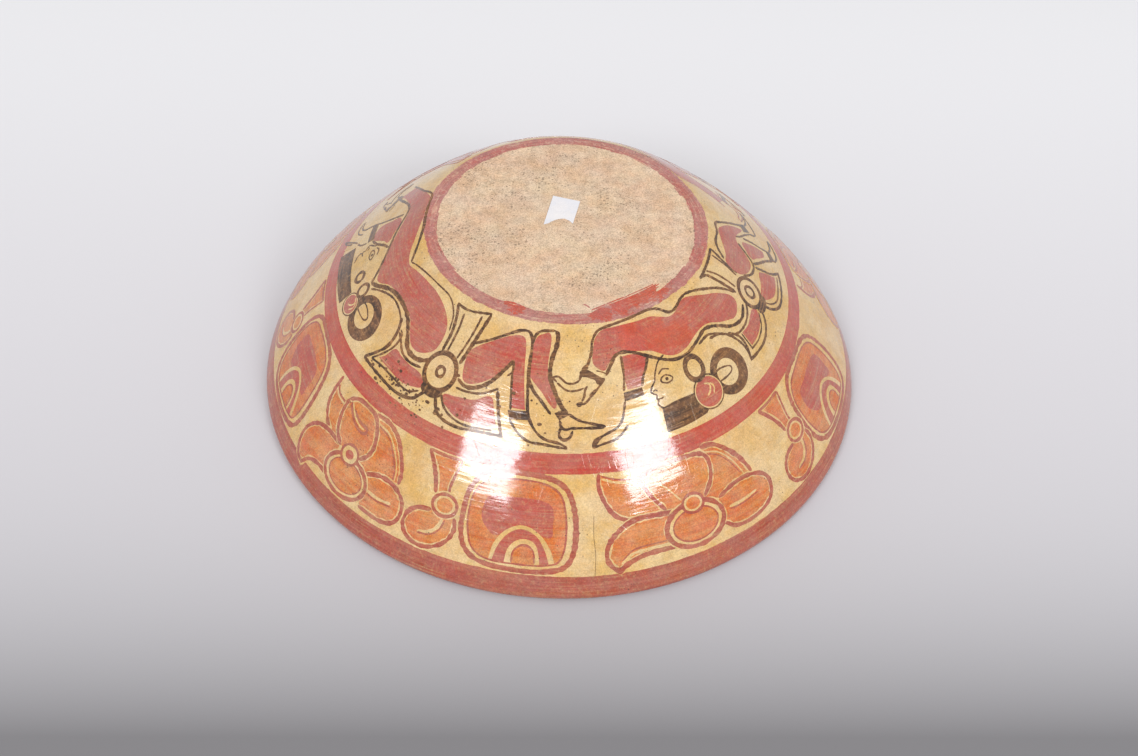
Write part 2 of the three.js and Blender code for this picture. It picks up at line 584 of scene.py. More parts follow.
class Workshop:
    """Makes the materials. The effects that the finishes share are node groups, each built once."""

    COLOUR = "NodeSocketColor"
    VALUE = "NodeSocketFloat"
    SOLID_SHARE = 0.55
    PIT_SCALES = (1000.0, 2100.0)
    SCRATCHES = ((0.4, 14.0, 330.0), (1.9, 22.0, 420.0), (1.1, 11.0, 260.0))
    FRESH_WEAR = 0.35
    RELIEF = 0.12 * MM
    GRIT_SPREAD = 0.08

    def __init__(self) -> None:
        """Builds the shared groups."""
        self.coat = self._coat_group()
        self.grain = self._grain_group()
        self.fresh = self._fresh_group()
        self.burnish = self._burnish_group()
        self.pitting = self._pitting_group()
        self.scratching = self._scratching_group()

    def _new_group(self, name: str, inputs: dict[str, object], outputs: dict[str, str]) -> NodeSheet:
        """Makes an empty shader node group.

        Args:
            name: the group's name.
            inputs: each input's default value; a colour is a tuple.
            outputs: each output's socket type.

        Returns:
            A sheet to fill the group with.
        """
        group = bpy.data.node_groups.new(name, "ShaderNodeTree")
        for key, default in inputs.items():
            kind = self.COLOUR if isinstance(default, tuple) else self.VALUE
            socket = group.interface.new_socket(key, in_out="INPUT", socket_type=kind)
            socket.default_value = (*default, 1.0) if isinstance(default, tuple) else default
        for key, kind in outputs.items():
            group.interface.new_socket(key, in_out="OUTPUT", socket_type=kind)
        return NodeSheet(group)

    def _coat_group(self) -> bpy.types.NodeTree:
        """Builds the slip's colour: brushed on in streaks, cloudy, and rubbed through in places.

        Returns:
            The group.
        """
        inputs = {"Slip": GROUND_COLOUR, "Shade": GROUND_COLOUR, "Ground": GROUND_COLOUR}
        inputs |= {"Wear": 0.3, "Streak": 0.5}
        sheet = self._new_group("slip_coat", inputs, {"Colour": self.COLOUR, "Worn": self.VALUE})
        given = sheet.add("NodeGroupInput", {}).outputs
        place, wall = sheet.object_place(), sheet.wall_place()
        streak = sheet.noise(sheet.stretched(wall, (26.0, 26.0, 620.0)), 1.0, 6.0, 0.62)
        cloud = sheet.noise(place, 70.0, 6.0, 0.68)
        lean = sheet.math("MULTIPLY", sheet.math("SUBTRACT", streak, cloud), given["Streak"])
        cloudy = sheet.ramp(sheet.math("ADD", cloud, lean), 0.40, 0.60)
        body = sheet.mix(cloudy, given["Slip"], given["Shade"])
        thin = sheet.ramp(sheet.noise(place, 900.0, 4.0, 0.6), 0.50, 0.72, 0.0, 0.6)
        rubbed = sheet.noise(sheet.stretched(wall, (60.0, 60.0, 1900.0)), 1.0, 5.0, 0.7)
        patch = sheet.noise(place, 85.0, 5.0, 0.62)
        amount = sheet.math("MULTIPLY", sheet.ramp(rubbed, 0.46, 0.74), sheet.ramp(patch, 0.36, 0.62))
        worn = sheet.math("MULTIPLY", sheet.math("ADD", amount, thin), given["Wear"])
        sheet.add("NodeGroupOutput", {"Colour": sheet.mix(worn, body, given["Ground"]), "Worn": worn})
        return sheet.tree

    def _grain_group(self) -> bpy.types.NodeTree:
        """Builds the grit and the mottling that show in any clay: its lightness, strength and warmth all vary.

        Returns:
            The group.
        """
        sheet = self._new_group("grain", {"Colour": GROUND_COLOUR, "Amount": 0.5}, {"Colour": self.COLOUR})
        given = sheet.add("NodeGroupInput", {}).outputs
        place = sheet.object_place()
        grit = sheet.ramp(sheet.noise(place, 2300.0, 3.0, 0.75), 0.30, 0.70, -0.30, 0.30)
        mottle = sheet.ramp(sheet.noise(place, 320.0, 5.0, 0.65), 0.25, 0.75, -0.15, 0.15)
        light = sheet.math("MULTIPLY", sheet.math("ADD", grit, mottle), given["Amount"])
        strength = sheet.ramp(sheet.noise(place, 130.0, 5.0, 0.65), 0.3, 0.7, -0.09, 0.07)
        strength = sheet.math("MULTIPLY", strength, given["Amount"])
        warmth = sheet.ramp(sheet.noise(place, 60.0, 5.0, 0.65), 0.3, 0.7, 0.497, 0.505)
        inputs = {
            "Hue": warmth,
            "Saturation": sheet.math("ADD", strength, 1.0),
            "Value": sheet.math("ADD", light, 1.0),
            "Color": given["Colour"],
        }
        varied = sheet.add("ShaderNodeHueSaturation", inputs).outputs[0]
        sheet.add("NodeGroupOutput", {"Colour": varied})
        return sheet.tree

    def _fresh_group(self) -> bpy.types.NodeTree:
        """Builds the soft, broken patches where the red slip is thick and bright, unpolished by hands.

        Returns:
            The group.
        """
        sheet = self._new_group("fresh_patches", {"Amount": 0.5}, {"Mask": self.VALUE})
        given = sheet.add("NodeGroupInput", {}).outputs
        place = sheet.object_place()
        ragged = sheet.ramp(sheet.noise(place, 300.0, 5.0, 0.7), 0.25, 0.75, -0.0026, 0.0026)
        mask: object = 0.0
        for middle, reach, strength in FRESH_PATCHES:
            away = sheet.vector("DISTANCE", place, middle).outputs["Value"]
            near = sheet.ramp(sheet.math("ADD", away, ragged), reach * self.SOLID_SHARE, reach, strength, 0.0)
            mask = sheet.math("MAXIMUM", near, mask)
        sheet.add("NodeGroupOutput", {"Mask": sheet.math("MULTIPLY", mask, given["Amount"])})
        return sheet.tree

    def _burnish_group(self) -> bpy.types.NodeTree:
        """Builds the polish: strokes of the burnishing stone in the roughness and in the relief.

        Returns:
            The group.
        """
        outputs = {"Roughness": self.VALUE, "Height": self.VALUE}
        sheet = self._new_group("burnish", {"Roughness": 0.3}, outputs)
        given = sheet.add("NodeGroupInput", {}).outputs
        place, wall = sheet.object_place(), sheet.wall_place()
        stroke = sheet.noise(sheet.stretched(wall, (60.0, 60.0, 900.0)), 1.0, 3.0, 0.55)
        facet = sheet.noise(sheet.stretched(wall, (110.0, 110.0, 220.0)), 1.0, 2.0, 0.5)
        dull = sheet.noise(place, 60.0, 5.0, 0.65)
        patchy = sheet.noise(sheet.stretched(wall, (220.0, 220.0, 480.0)), 1.0, 4.0, 0.7)
        in_strokes = sheet.ramp(stroke, 0.3, 0.7, -0.02, 0.03)
        in_clouds = sheet.ramp(dull, 0.4, 0.7, -0.01, 0.04)
        in_patches = sheet.ramp(patchy, 0.45, 0.7, -0.01, 0.06)
        uneven = sheet.math("ADD", in_patches, sheet.math("ADD", in_strokes, in_clouds))
        rough = sheet.math("ADD", given["Roughness"], uneven)
        height = sheet.math("ADD", sheet.math("MULTIPLY", stroke, 0.18), sheet.math("MULTIPLY", facet, 0.8))
        height = sheet.math("ADD", height, sheet.math("MULTIPLY", sheet.noise(place, 1800.0, 2.0), 0.05))
        sheet.add("NodeGroupOutput", {"Roughness": rough, "Height": height})
        return sheet.tree

    def _pitting_group(self) -> bpy.types.NodeTree:
        """Builds small dark pits and specks, thick in some places and rare in others.

        Returns:
            The group.
        """
        sheet = self._new_group("pitting", {"Amount": 0.5}, {"Mask": self.VALUE})
        given = sheet.add("NodeGroupInput", {}).outputs
        place = sheet.object_place()
        crowd = sheet.ramp(sheet.noise(place, 55.0, 4.0), 0.40, 0.62, 0.10, 0.28)
        crowd = sheet.math("MULTIPLY", crowd, given["Amount"])
        masks = []
        for scale in self.PIT_SCALES:
            cell = sheet.add("ShaderNodeTexVoronoi", {"Vector": place, "Scale": scale})
            chance = sheet.add("ShaderNodeSeparateColor", {0: cell.outputs["Color"]}).outputs[0]
            reach = sheet.math("MULTIPLY", crowd, sheet.ramp(chance, 0.35, 0.95, 0.0, 1.5))
            past = sheet.math("SUBTRACT", cell.outputs["Distance"], reach)
            masks.append(sheet.ramp(past, -0.06, 0.0, 1.0, 0.0))
        sheet.add("NodeGroupOutput", {"Mask": sheet.math("MAXIMUM", *masks)})
        return sheet.tree

    def _scratching_group(self) -> bpy.types.NodeTree:
        """Builds fine, broken scratches that run several ways.

        Returns:
            The group.
        """
        sheet = self._new_group("scratching", {"Amount": 0.5}, {"Mask": self.VALUE})
        given = sheet.add("NodeGroupInput", {}).outputs
        place = sheet.object_place()
        masks = []
        for turn, long, fine in self.SCRATCHES:
            hair = sheet.noise(sheet.stretched(place, (long, fine, long), turn), 1.0, 1.0, 0.5)
            off_middle = sheet.math("ABSOLUTE", sheet.math("SUBTRACT", hair, 0.5), 0.0)
            broken = sheet.ramp(sheet.noise(place, 90.0 + 4 * long, 4.0, 0.65), 0.52, 0.62)
            masks.append(sheet.math("MULTIPLY", sheet.ramp(off_middle, 0.003, 0.011, 1.0, 0.0), broken))
        crossed = sheet.math("MAXIMUM", sheet.math("MAXIMUM", masks[0], masks[1]), masks[2])
        sheet.add("NodeGroupOutput", {"Mask": sheet.math("MULTIPLY", crossed, given["Amount"])})
        return sheet.tree

    def _start(self, finish: Finish) -> tuple[bpy.types.Material, NodeSheet]:
        """Starts a finish's material.

        Args:
            finish: the finish.

        Returns:
            The empty material and a sheet to fill it with.
        """
        material = bpy.data.materials.new("fired_" + finish.name)
        material.use_nodes = True
        return material, NodeSheet(material.node_tree)

    def _join(self, sheet: NodeSheet, finish: Finish, colour: object, rough: object, height: object) -> None:
        """Joins a finish's colour, roughness and relief to its shader.

        Args:
            sheet: the material's sheet.
            finish: the finish.
            colour: the base colour's socket.
            rough: the roughness's socket.
            height: the relief's socket.
        """
        shader = sheet.tree.nodes["Principled BSDF"]
        inputs = {"Height": height, "Strength": finish.bump, "Distance": self.RELIEF}
        bump = sheet.add("ShaderNodeBump", inputs)
        sheet.tree.links.new(colour, shader.inputs["Base Color"])
        sheet.tree.links.new(rough, shader.inputs["Roughness"])
        sheet.tree.links.new(bump.outputs["Normal"], shader.inputs["Normal"])
        shader.inputs["IOR"].default_value = finish.gloss

    def slip(self, finish: Finish) -> bpy.types.Material:
        """Makes a burnished slip.

        Args:
            finish: its colours, wear and polish.

        Returns:
            The material.
        """
        material, sheet = self._start(finish)
        inputs = {"Slip": finish.colour, "Shade": finish.shade, "Ground": finish.ground}
        inputs |= {"Wear": finish.wear, "Streak": finish.streak}
        if finish.fresh:
            fresh = sheet.use(self.fresh, {"Amount": finish.fresh}).outputs["Mask"]
            inputs["Slip"] = sheet.mix(fresh, finish.colour, FRESH_COLOUR)
            inputs["Shade"] = sheet.mix(fresh, finish.shade, FRESH_COLOUR)
            inputs["Wear"] = sheet.ramp(fresh, 0.0, 1.0, finish.wear, finish.wear * self.FRESH_WEAR)
        coat = sheet.use(self.coat, inputs).outputs
        colour = sheet.use(self.grain, {"Colour": coat["Colour"], "Amount": finish.grain}).outputs["Colour"]
        burnish = sheet.use(self.burnish, {"Roughness": finish.roughness}).outputs
        pits = sheet.use(self.pitting, {"Amount": finish.pits}).outputs["Mask"]
        scratch = sheet.use(self.scratching, {"Amount": finish.scratches}).outputs["Mask"]
        colour = sheet.mix(scratch, colour, GROUND_COLOUR)
        colour = sheet.mix(sheet.math("MULTIPLY", pits, 0.85), colour, PIT_COLOUR)
        hollow = sheet.math("ADD", sheet.math("MULTIPLY", pits, 0.8), sheet.math("MULTIPLY", scratch, 0.5))
        height = sheet.math("SUBTRACT", burnish["Height"], hollow)
        dull = sheet.math("MULTIPLY", sheet.math("ADD", hollow, coat["Worn"]), 0.12)
        rough = sheet.math("ADD", burnish["Roughness"], dull)
        self._join(sheet, finish, colour, rough, height)
        return material

    def matte(self, finish: Finish) -> bpy.types.Material:
        """Makes an unpolished, gritty finish that is stained where paint was wiped off it.

        Args:
            finish: its colours and how rough it is.

        Returns:
            The material.
        """
        material, sheet = self._start(finish)
        place = sheet.object_place()
        cloud = sheet.noise(place, 90.0, 8.0, 0.75)
        wiped = sheet.noise(sheet.stretched(place, (90.0, 260.0, 90.0), 0.5), 1.0, 6.0, 0.75)
        stain = sheet.noise(place, 28.0, 5.0, 0.65)
        grit = sheet.noise(place, 1300.0, 3.0, 0.7)
        colour = sheet.mix(sheet.ramp(cloud, 0.38, 0.62), finish.colour, finish.shade)
        stained = sheet.math("MULTIPLY", sheet.ramp(stain, 0.50, 0.70), sheet.ramp(wiped, 0.34, 0.62))
        colour = sheet.mix(sheet.math("MULTIPLY", stained, finish.wear), colour, finish.ground)
        colour = sheet.use(self.grain, {"Colour": colour, "Amount": finish.grain}).outputs["Colour"]
        pits = sheet.use(self.pitting, {"Amount": finish.pits}).outputs["Mask"]
        scratch = sheet.use(self.scratching, {"Amount": finish.scratches}).outputs["Mask"]
        colour = sheet.mix(scratch, colour, finish.shade)
        colour = sheet.mix(sheet.math("MULTIPLY", pits, 0.42), colour, PIT_COLOUR)
        height = sheet.math("ADD", sheet.math("MULTIPLY", grit, 0.6), sheet.math("MULTIPLY", wiped, 0.8))
        height = sheet.math("SUBTRACT", height, sheet.math("ADD", pits, sheet.math("MULTIPLY", scratch, 0.4)))
        smooth, gritty = finish.roughness - self.GRIT_SPREAD, finish.roughness + self.GRIT_SPREAD
        self._join(sheet, finish, colour, sheet.ramp(grit, 0.3, 0.7, smooth, gritty), height)
        return material


# Meshes


SAME_WAY = 0.9  # a face counts as part of the smooth surface when the cosine between them is over this
WELD = 1e-7  # vertices this close are joined
ON_CUT = 1e-5  # vertices this close to a cut lie on it


def set_facing(mesh: bpy.types.Mesh, facing: np.ndarray) -> None:
    """Shades a mesh with the smooth surface's own normals wherever a face lies on that surface.

    Args:
        mesh: the mesh to shade.
        facing: the surface's normal at each vertex.
    """
    corner = np.empty(len(mesh.loops), np.int32)
    mesh.loops.foreach_get("vertex_index", corner)
    flat = np.empty((len(mesh.polygons), 3), np.float32)
    mesh.polygons.foreach_get("normal", flat.ravel())
    counts = np.empty(len(mesh.polygons), np.int32)
    mesh.polygons.foreach_get("loop_total", counts)
    flat = np.repeat(flat, counts, axis=0)
    smooth = facing[corner]
    on_surface = (smooth * flat).sum(1) > SAME_WAY
    mesh.shade_smooth()
    mesh.normals_split_custom_set(np.where(on_surface[:, None], smooth, flat).tolist())


def place_piece(name: str, work: bmesh.types.BMesh, material: bpy.types.Material,
                facing: np.ndarray | None = None) -> bpy.types.Object:
    """Turns worked geometry into a piece of the bowl that rides on its body.

    Args:
        name: the piece's name.
        work: the geometry, in metres in the frame, which is freed.
        material: the piece's material.
        facing: the smooth surface's normal at each vertex, used on the faces that look that way.

    Returns:
        The piece's object.
    """
    mesh = bpy.data.meshes.new(name)
    work.to_mesh(mesh)
    work.free()
    mesh.materials.append(material)
    if facing is not None:
        set_facing(mesh, facing)
    piece = bpy.data.objects.new(name, mesh)
    bpy.context.scene.collection.objects.link(piece)
    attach(piece, BODY)
    return piece


class ClayBody:
    """The base disc and the coils, each a closed ring of clay with its seams lapped as in the CAD model."""

    INNER_STEP = 2.5 * MM
    BASE_STEPS = 7
    FLOOR_STEPS = 5
    INWARD = -0.05
    DOWNWARD = -0.3
    RED_COILS = {"foot_coil": Paint.WORN_AND_SHEEN_RED, "waist_coil": Paint.BAND_RED, "rim_coil": Paint.RED_BROWN}

    def __init__(self, surface: Surface, workshop: Workshop, slips: dict[Paint, bpy.types.Material]) -> None:
        """Keeps what every ring needs.

        Args:
            surface: the bowl's outside and inside.
            workshop: where the finishes are made.
            slips: the painter's slips.
        """
        self.surface = surface
        self.slips = slips
        self.inside = workshop.slip(INSIDE)
        self.clay = workshop.matte(BARE_CLAY)

    def _back(self, start: float, end: float) -> np.ndarray:
        """Finds the inside's points between two distances along it.

        Args:
            start: the first point's distance.
            end: the last point's distance.

        Returns:
            The points, as (radius, height, radial normal, upward normal).
        """
        inner = self.surface.inner
        count = max(1, round(abs(end - start) / self.INNER_STEP))
        runs = np.linspace(start, end, count + 1)
        normal_r, normal_z = inner.normal(runs)
        return np.stack([*inner.at(runs), -normal_r, -normal_z], 1)

    def _facing_inside(self, run: float) -> float:
        """The distance along the inside that faces one on the outside."""
        return run * self.surface.inner.length / self.surface.outer.length

    def _revolve(self, node: str, section: np.ndarray, closed: bool) -> bpy.types.Object:
        """Spins a section into a piece, gives it the potter's unevenness and lets it stand for its CAD node.

        Args:
            node: the CAD node's name.
            section: points as (radius, height, radial normal, upward normal), in order.
            closed: True for a ring, False for a piece whose section ends on the axis.

        Returns:
            The piece, smooth where it lies on the bowl's faces.
        """
        work = bmesh.new()
        chain = [work.verts.new((radius, 0.0, height)) for radius, height, _, _ in section]
        pairs = list(zip(chain, chain[1:]))
        if closed:
            pairs.append((chain[-1], chain[0]))
        edges = [work.edges.new(pair) for pair in pairs]
        bmesh.ops.spin(work, geom=chain + edges, cent=(0, 0, 0), axis=(0, 0, 1), dvec=(0, 0, 0),
                       angle=2 * math.pi, steps=Surface.COLUMNS, use_merge=True, use_duplicate=False)
        bmesh.ops.remove_doubles(work, verts=work.verts, dist=WELD)
        bmesh.ops.recalc_face_normals(work, faces=work.faces)
        points = np.array([vertex.co for vertex in work.verts])
        radius = np.hypot(points[:, 0], points[:, 1])
        away = np.hypot(radius[:, None] - section[:, 0], points[:, 2:3] - section[:, 1])
        normal_r, normal_z = section[away.argmin(1), 2:].T
        spoke = points[:, :2] / np.maximum(radius, 1e-9)[:, None]
        facing = np.concatenate([spoke * normal_r[:, None], normal_z[:, None]], 1)
        hand = self.surface.hand
        bent = hand.facing(points, facing)
        for vertex, place in zip(work.verts, hand.shape(points)):
            vertex.co = place
        paint = self.RED_COILS.get(node, Paint.CREAM)
        piece = place_piece(node + "_fired", work, self.slips[paint] if closed else self.clay, bent)
        if node != "rim_coil":
            self._line_inside(piece)
        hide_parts(node)
        log.info("clay piece %s stands for %s", piece.name, node)
        return piece

    def _line_inside(self, piece: bpy.types.Object) -> None:
        """Gives a piece's inner face the inside's slip.

        Args:
            piece: the piece to line.
        """
        piece.data.materials.append(self.inside)
        for polygon in piece.data.polygons:
            spoke = Vector((polygon.center.x, polygon.center.y)).normalized()
            outward = spoke.x * polygon.normal.x + spoke.y * polygon.normal.y
            polygon.material_index = int(outward < self.INWARD or polygon.normal.z < self.DOWNWARD)

    def build(self) -> list[bpy.types.Object]:
        """Builds every clay piece.

        Returns:
            The pieces, from the base disc to the rim coil.
        """
        surface, form, seams = self.surface, self.surface.form, self.surface.seams
        laps = [seams[0] - form.lap, form.foot_spread, *(seam - form.lap for seam in seams[2:])]
        laps = [self._facing_inside(lap) for lap in laps]
        pieces = [self._revolve("base_disc", self._disc_section(laps[0]), closed=False)]
        names = ["foot_coil"]
        names += [f"wall_coil_{number + 1}" for number in range(form.upper_courses)]
        names += ["waist_coil"]
        names += [f"wall_coil_{form.upper_courses + number + 1}" for number in range(form.lower_courses)]
        for name, start, end, lap_start, lap_end in zip(names, seams, seams[1:], laps, laps[1:]):
            section = np.concatenate([surface.section(start, end), self._back(lap_end, lap_start)])
            pieces.append(self._revolve(name, section, closed=True))
        pieces.append(self._revolve("rim_coil", self._rim_section(seams[-1], laps[-1]), closed=True))
        return pieces

    def _disc_section(self, lap: float) -> np.ndarray:
        """Draws the base disc's section, from the middle of its top to the middle of the bowl's floor.

        Args:
            lap: the distance along the inside at which its seam ends.

        Returns:
            The section's points, as (radius, height, radial normal, upward normal).
        """
        surface, form = self.surface, self.surface.form
        shares = np.linspace(0.0, 1.0 - Surface.BASE_SHARE, self.BASE_STEPS + 1)[:-1]
        middle = np.array([(form.base_radius * share, form.height, 0.0, 1.0) for share in shares])
        top = surface.section(-form.base_radius, surface.seams[0])
        radius, height, _, _ = self._back(lap, lap + MM)[0]
        shares = np.linspace(1.0, 0.0, self.FLOOR_STEPS + 1)
        floor = np.array([(radius * share, height, 0.0, -1.0) for share in shares])
        return np.concatenate([middle, top, floor])

    def _rim_section(self, start: float, lap: float) -> np.ndarray:
        """Draws the last coil's section, with the lip's half round and its worn flat.

        Args:
            start: the distance along the outside at which the coil starts.
            lap: the distance along the inside at which its seam ends.

        Returns:
            The section's points, as (radius, height, radial normal, upward normal).
        """
        surface, form = self.surface, self.surface.form
        centre, size = form.lip_centre, form.lip_radius
        first, last = form.worn_angle - math.pi, -math.pi / 2 - form.lip_slope
        angles = np.linspace(first, last, Surface.LIP_STEPS + 1)
        across, up = np.cos(angles), np.sin(angles)
        inside = np.stack([centre.x + size * across, centre.y + size * up, across, up], 1)
        outside = surface.section(start, surface.lip_end)
        return np.concatenate([outside, inside, self._back(surface.inner.length, lap)[1:]])


# Brushwork


@dataclass(frozen=True)
class Mark:
    """One mark of the brush: a filled shape, or a line where it has a width."""

    paint: Paint
    path: str
    width: float = 0.0
    closed: bool = True
    reserve: float = 0.0
    shift: tuple[float, float] = (0.0, 0.0)


def fill(paint: Paint, path: str) -> Mark:
    """A filled shape."""
    return Mark(paint, path)


def line(paint: Paint, width: float, path: str, closed: bool = False, reserve: float = 0.0) -> Mark:
    """A drawn line, with its width and the cream that is left beside it in millimetres."""
    return Mark(paint, path, width, closed, reserve)


def moved(across: float, down: float, marks: Sequence[Mark]) -> tuple[Mark, ...]:
    """The same marks elsewhere on the sheet."""
    return tuple(replace(mark, shift=(mark.shift[0] + across, mark.shift[1] + down)) for mark in marks)


OVAL_SPOTS = 8


def oval(x: float, y: float, across: float, down: float) -> str:
    """A path round an oval.

    Args:
        x, y: its middle on the sheet.
        across, down: its half sizes.

    Returns:
        The path's spots.
    """
    turns = (math.tau * step / OVAL_SPOTS for step in range(OVAL_SPOTS))
    return " ".join(f"{x + across * math.cos(turn):.1f},{y + down * math.sin(turn):.1f}" for turn in turns)


@dataclass(frozen=True)
class Placing:
    """Where a motif, drawn about a middle on the sheet, goes on the wall, and how the hand varied it."""

    middle: tuple[float, float] = (0.0, 0.0)
    degrees: float = 160.0
    run: float = 0.0
    wide: float = 1.0
    tall: float = 1.0
    skew: float = 0.0

    SQUARES_PER_DEGREE = 20.0
    SQUARES_PER_MM = 15.27

    def put(self, curve: np.ndarray) -> np.ndarray:
        """Puts a curve on the wall.

        Args:
            curve: places on the sheet, one to a row.

        Returns:
            The places in degrees round the bowl and metres down its wall.
        """
        across, down = (curve - self.middle).T
        across = across * self.wide + down * self.skew
        degrees = self.degrees + across / self.SQUARES_PER_DEGREE
        return np.stack([degrees, (self.run + down * self.tall / self.SQUARES_PER_MM) * MM], 1)


def flowing(path: str, closed: bool, step: float = 6.0) -> np.ndarray:
    """Draws one flowing curve through a path's spots.

    Args:
        path: spots as x,y pairs, with an exclamation mark at each sharp corner.
        closed: True if the curve comes back to its start.
        step: how far apart the curve's points are.

    Returns:
        The curve's points, one to a row.
    """
    words = path.split()
    spots = [Vector([float(part) for part in word.rstrip("!").split(",")]) for word in words]
    sharp = [word.endswith("!") for word in words]
    count = len(spots)
    if not closed:
        sharp[0] = sharp[-1] = True
    curve: list[Vector] = []
    for index in range(count if closed else count - 1):
        following = (index + 1) % count
        here, there = spots[index], spots[following]
        reach = (there - here).length / 3
        leaving = there - here if sharp[index] else there - spots[index - 1]
        arriving = there - here if sharp[following] else spots[(following + 1) % count] - here
        pieces = max(2, math.ceil(3 * reach / step))
        bend = interpolate_bezier(here, here + leaving.normalized() * reach,
                                  there - arriving.normalized() * reach, there, pieces + 1)
        curve.extend(bend[:-1])
    if not closed:
        curve.append(spots[-1])
    return np.array(curve)[:, :2]


class Coat:
    """Marks of one slip, laid on the wall as one piece, each cut along the wall's facets, with its own lift.

    The marks are worked flat, with an angle in degrees as X, and the way down the wall times SCALE as Y.
    """

    SINK = 0.05 * MM
    FIRST_LIFT = 0.020 * MM
    LIFT_STEP = 0.003 * MM
    SCALE = 1000.0
    PRESSURE = 0.9
    UNSTEADY = 0.42
    TREMBLE = (0.9, 900, 3000)
    SHARPEST_MITRE = 0.65
    THINNEST_TIP = 0.02
    AT_END = 1e-4

    def __init__(self, name: str, surface: Surface, paint: Paint) -> None:
        """Starts with a clean brush.

        Args:
            name: the piece's name.
            surface: the wall that the coat lies on.
            paint: the slip.
        """
        self.name = name
        self.surface = surface
        self.paint = paint
        self.work = bmesh.new()

    def _cut(self, work: bmesh.types.BMesh) -> None:
        """Cuts flat shapes along the grid's columns and rows.

        Args:
            work: the shapes.
        """
        spots = np.array([vertex.co for vertex in work.verts])
        low, high = spots.min(0), spots.max(0)
        pitch = 360.0 / Surface.COLUMNS
        columns = np.arange(math.floor(low[0] / pitch) + 1, math.ceil(high[0] / pitch)) * pitch
        rows = self.surface.rows * self.SCALE
        cuts = [((column, 0, 0), (1, 0, 0)) for column in columns]
        cuts += [((0, row, 0), (0, 1, 0)) for row in rows[(rows > low[1]) & (rows < high[1])]]
        for place, facing in cuts:
            geometry = [*work.verts, *work.edges, *work.faces]
            bmesh.ops.bisect_plane(work, geom=geometry, dist=ON_CUT, plane_co=place, plane_no=facing)

    def _thicken(self, work: bmesh.types.BMesh, layer: int) -> None:
        """Gives flat shapes the coat's thickness.

        Args:
            work: the shapes.
            layer: how many marks lie under them, which sets how high their tops are.
        """
        loose = [vertex for vertex in work.verts if not vertex.link_faces]
        bmesh.ops.delete(work, geom=loose, context="VERTS")
        many = [face for face in work.faces if len(face.verts) > 4]
        bmesh.ops.triangulate(work, faces=many)
        for vertex in work.verts:
            vertex.co.z = (self.FIRST_LIFT + layer * self.LIFT_STEP) * self.SCALE
        geometry = [*work.verts, *work.edges, *work.faces]
        sunk = bmesh.ops.extrude_face_region(work, geom=geometry, use_keep_orig=True)["geom"]
        for vertex in (item for item in sunk if isinstance(item, bmesh.types.BMVert)):
            vertex.co.z = -self.SINK * self.SCALE

    def _keep(self, work: bmesh.types.BMesh, layer: int) -> None:
        """Cuts and thickens a mark and adds it to the coat.

        Args:
            work: the mark, flat, which is freed.
            layer: how many marks lie under it.
        """
        self._cut(work)
        self._thicken(work, layer)
        mesh = bpy.data.meshes.new("mark")
        work.to_mesh(mesh)
        work.free()
        self.work.from_mesh(mesh)
        bpy.data.meshes.remove(mesh)

    def fill(self, outline: np.ndarray, layer: int) -> None:
        """Adds a filled shape.

        Args:
            outline: its edge, in degrees and metres.
            layer: how many marks lie under it.
        """
        work = bmesh.new()
        work.faces.new([work.verts.new((degrees, run * self.SCALE, 0.0)) for degrees, run in outline])
        self._keep(work, layer)

    def stroke(self, path: np.ndarray, width: float, closed: bool, layer: int) -> None:
        """Adds a line of the brush, thinner at its ends and a little uneven.

        Args:
            path: its middle, in degrees and metres.
            width: how wide it is, in metres.
            closed: True if it comes back to its start.
            layer: how many marks lie under it.
        """
        if closed:
            path = np.concatenate([path, path[:1]])
        stretch = np.stack([self.surface.degree_length(path[:, 1]), np.ones(len(path))], 1)
        steps = np.diff(path, axis=0) * (stretch[1:] + stretch[:-1]) / 2
        lengths = np.linalg.norm(steps, axis=1)
        units = steps / lengths[:, None]
        before = np.concatenate([units[-1:] if closed else units[:1], units])
        after = np.concatenate([units, units[:1] if closed else units[-1:]])
        along = (before + after) / 2
        size = np.linalg.norm(along, axis=1)
        mitre = size * np.maximum(size, self.SHARPEST_MITRE)
        across = np.stack([-along[:, 1], along[:, 0]], 1) / mitre[:, None]
        places = np.column_stack([path, np.full(len(path), width)]) * self.TREMBLE
        unsteady = [noise.noise(Vector(place)) for place in places]
        half = width / 2 * self.PRESSURE * (1 + self.UNSTEADY * np.array(unsteady))
        if not closed:
            travelled = np.concatenate([[0.0], np.cumsum(lengths)])
            to_end = np.minimum(travelled, travelled[-1] - travelled)
            share = np.clip(to_end / width, self.THINNEST_TIP, 1.0)
            half = half * np.sqrt(share * (2 - share))
        offset = across * half[:, None] / stretch
        self._ribbon(path + offset, path - offset, closed, layer)

    def _ribbon(self, left: np.ndarray, right: np.ndarray, closed: bool, layer: int) -> None:
        """Adds a strip between two edges, drawn out from the first to the second.

        Args:
            left: the first edge, in degrees and metres.
            right: the second edge, with as many points.
            closed: True if the strip comes back to its start.
            layer: how many marks lie under it.
        """
        if closed:
            left, right = left[:-1], right[:-1]
        work = bmesh.new()
        chain = [work.verts.new((degrees, run * self.SCALE, 0.0)) for degrees, run in left]
        pairs = list(zip(chain, chain[1:]))
        if closed:
            pairs.append((chain[-1], chain[0]))
        edges = [work.edges.new(pair) for pair in pairs]
        goal = dict(zip(chain, right))
        drawn = bmesh.ops.extrude_edge_only(work, edges=edges)["geom"]
        for vertex in (item for item in drawn if isinstance(item, bmesh.types.BMVert)):
            others = (edge.other_vert(vertex) for edge in vertex.link_edges)
            degrees, run = next(goal[other] for other in others if other in goal)
            vertex.co = (degrees, run * self.SCALE, 0.0)
        self._keep(work, layer)

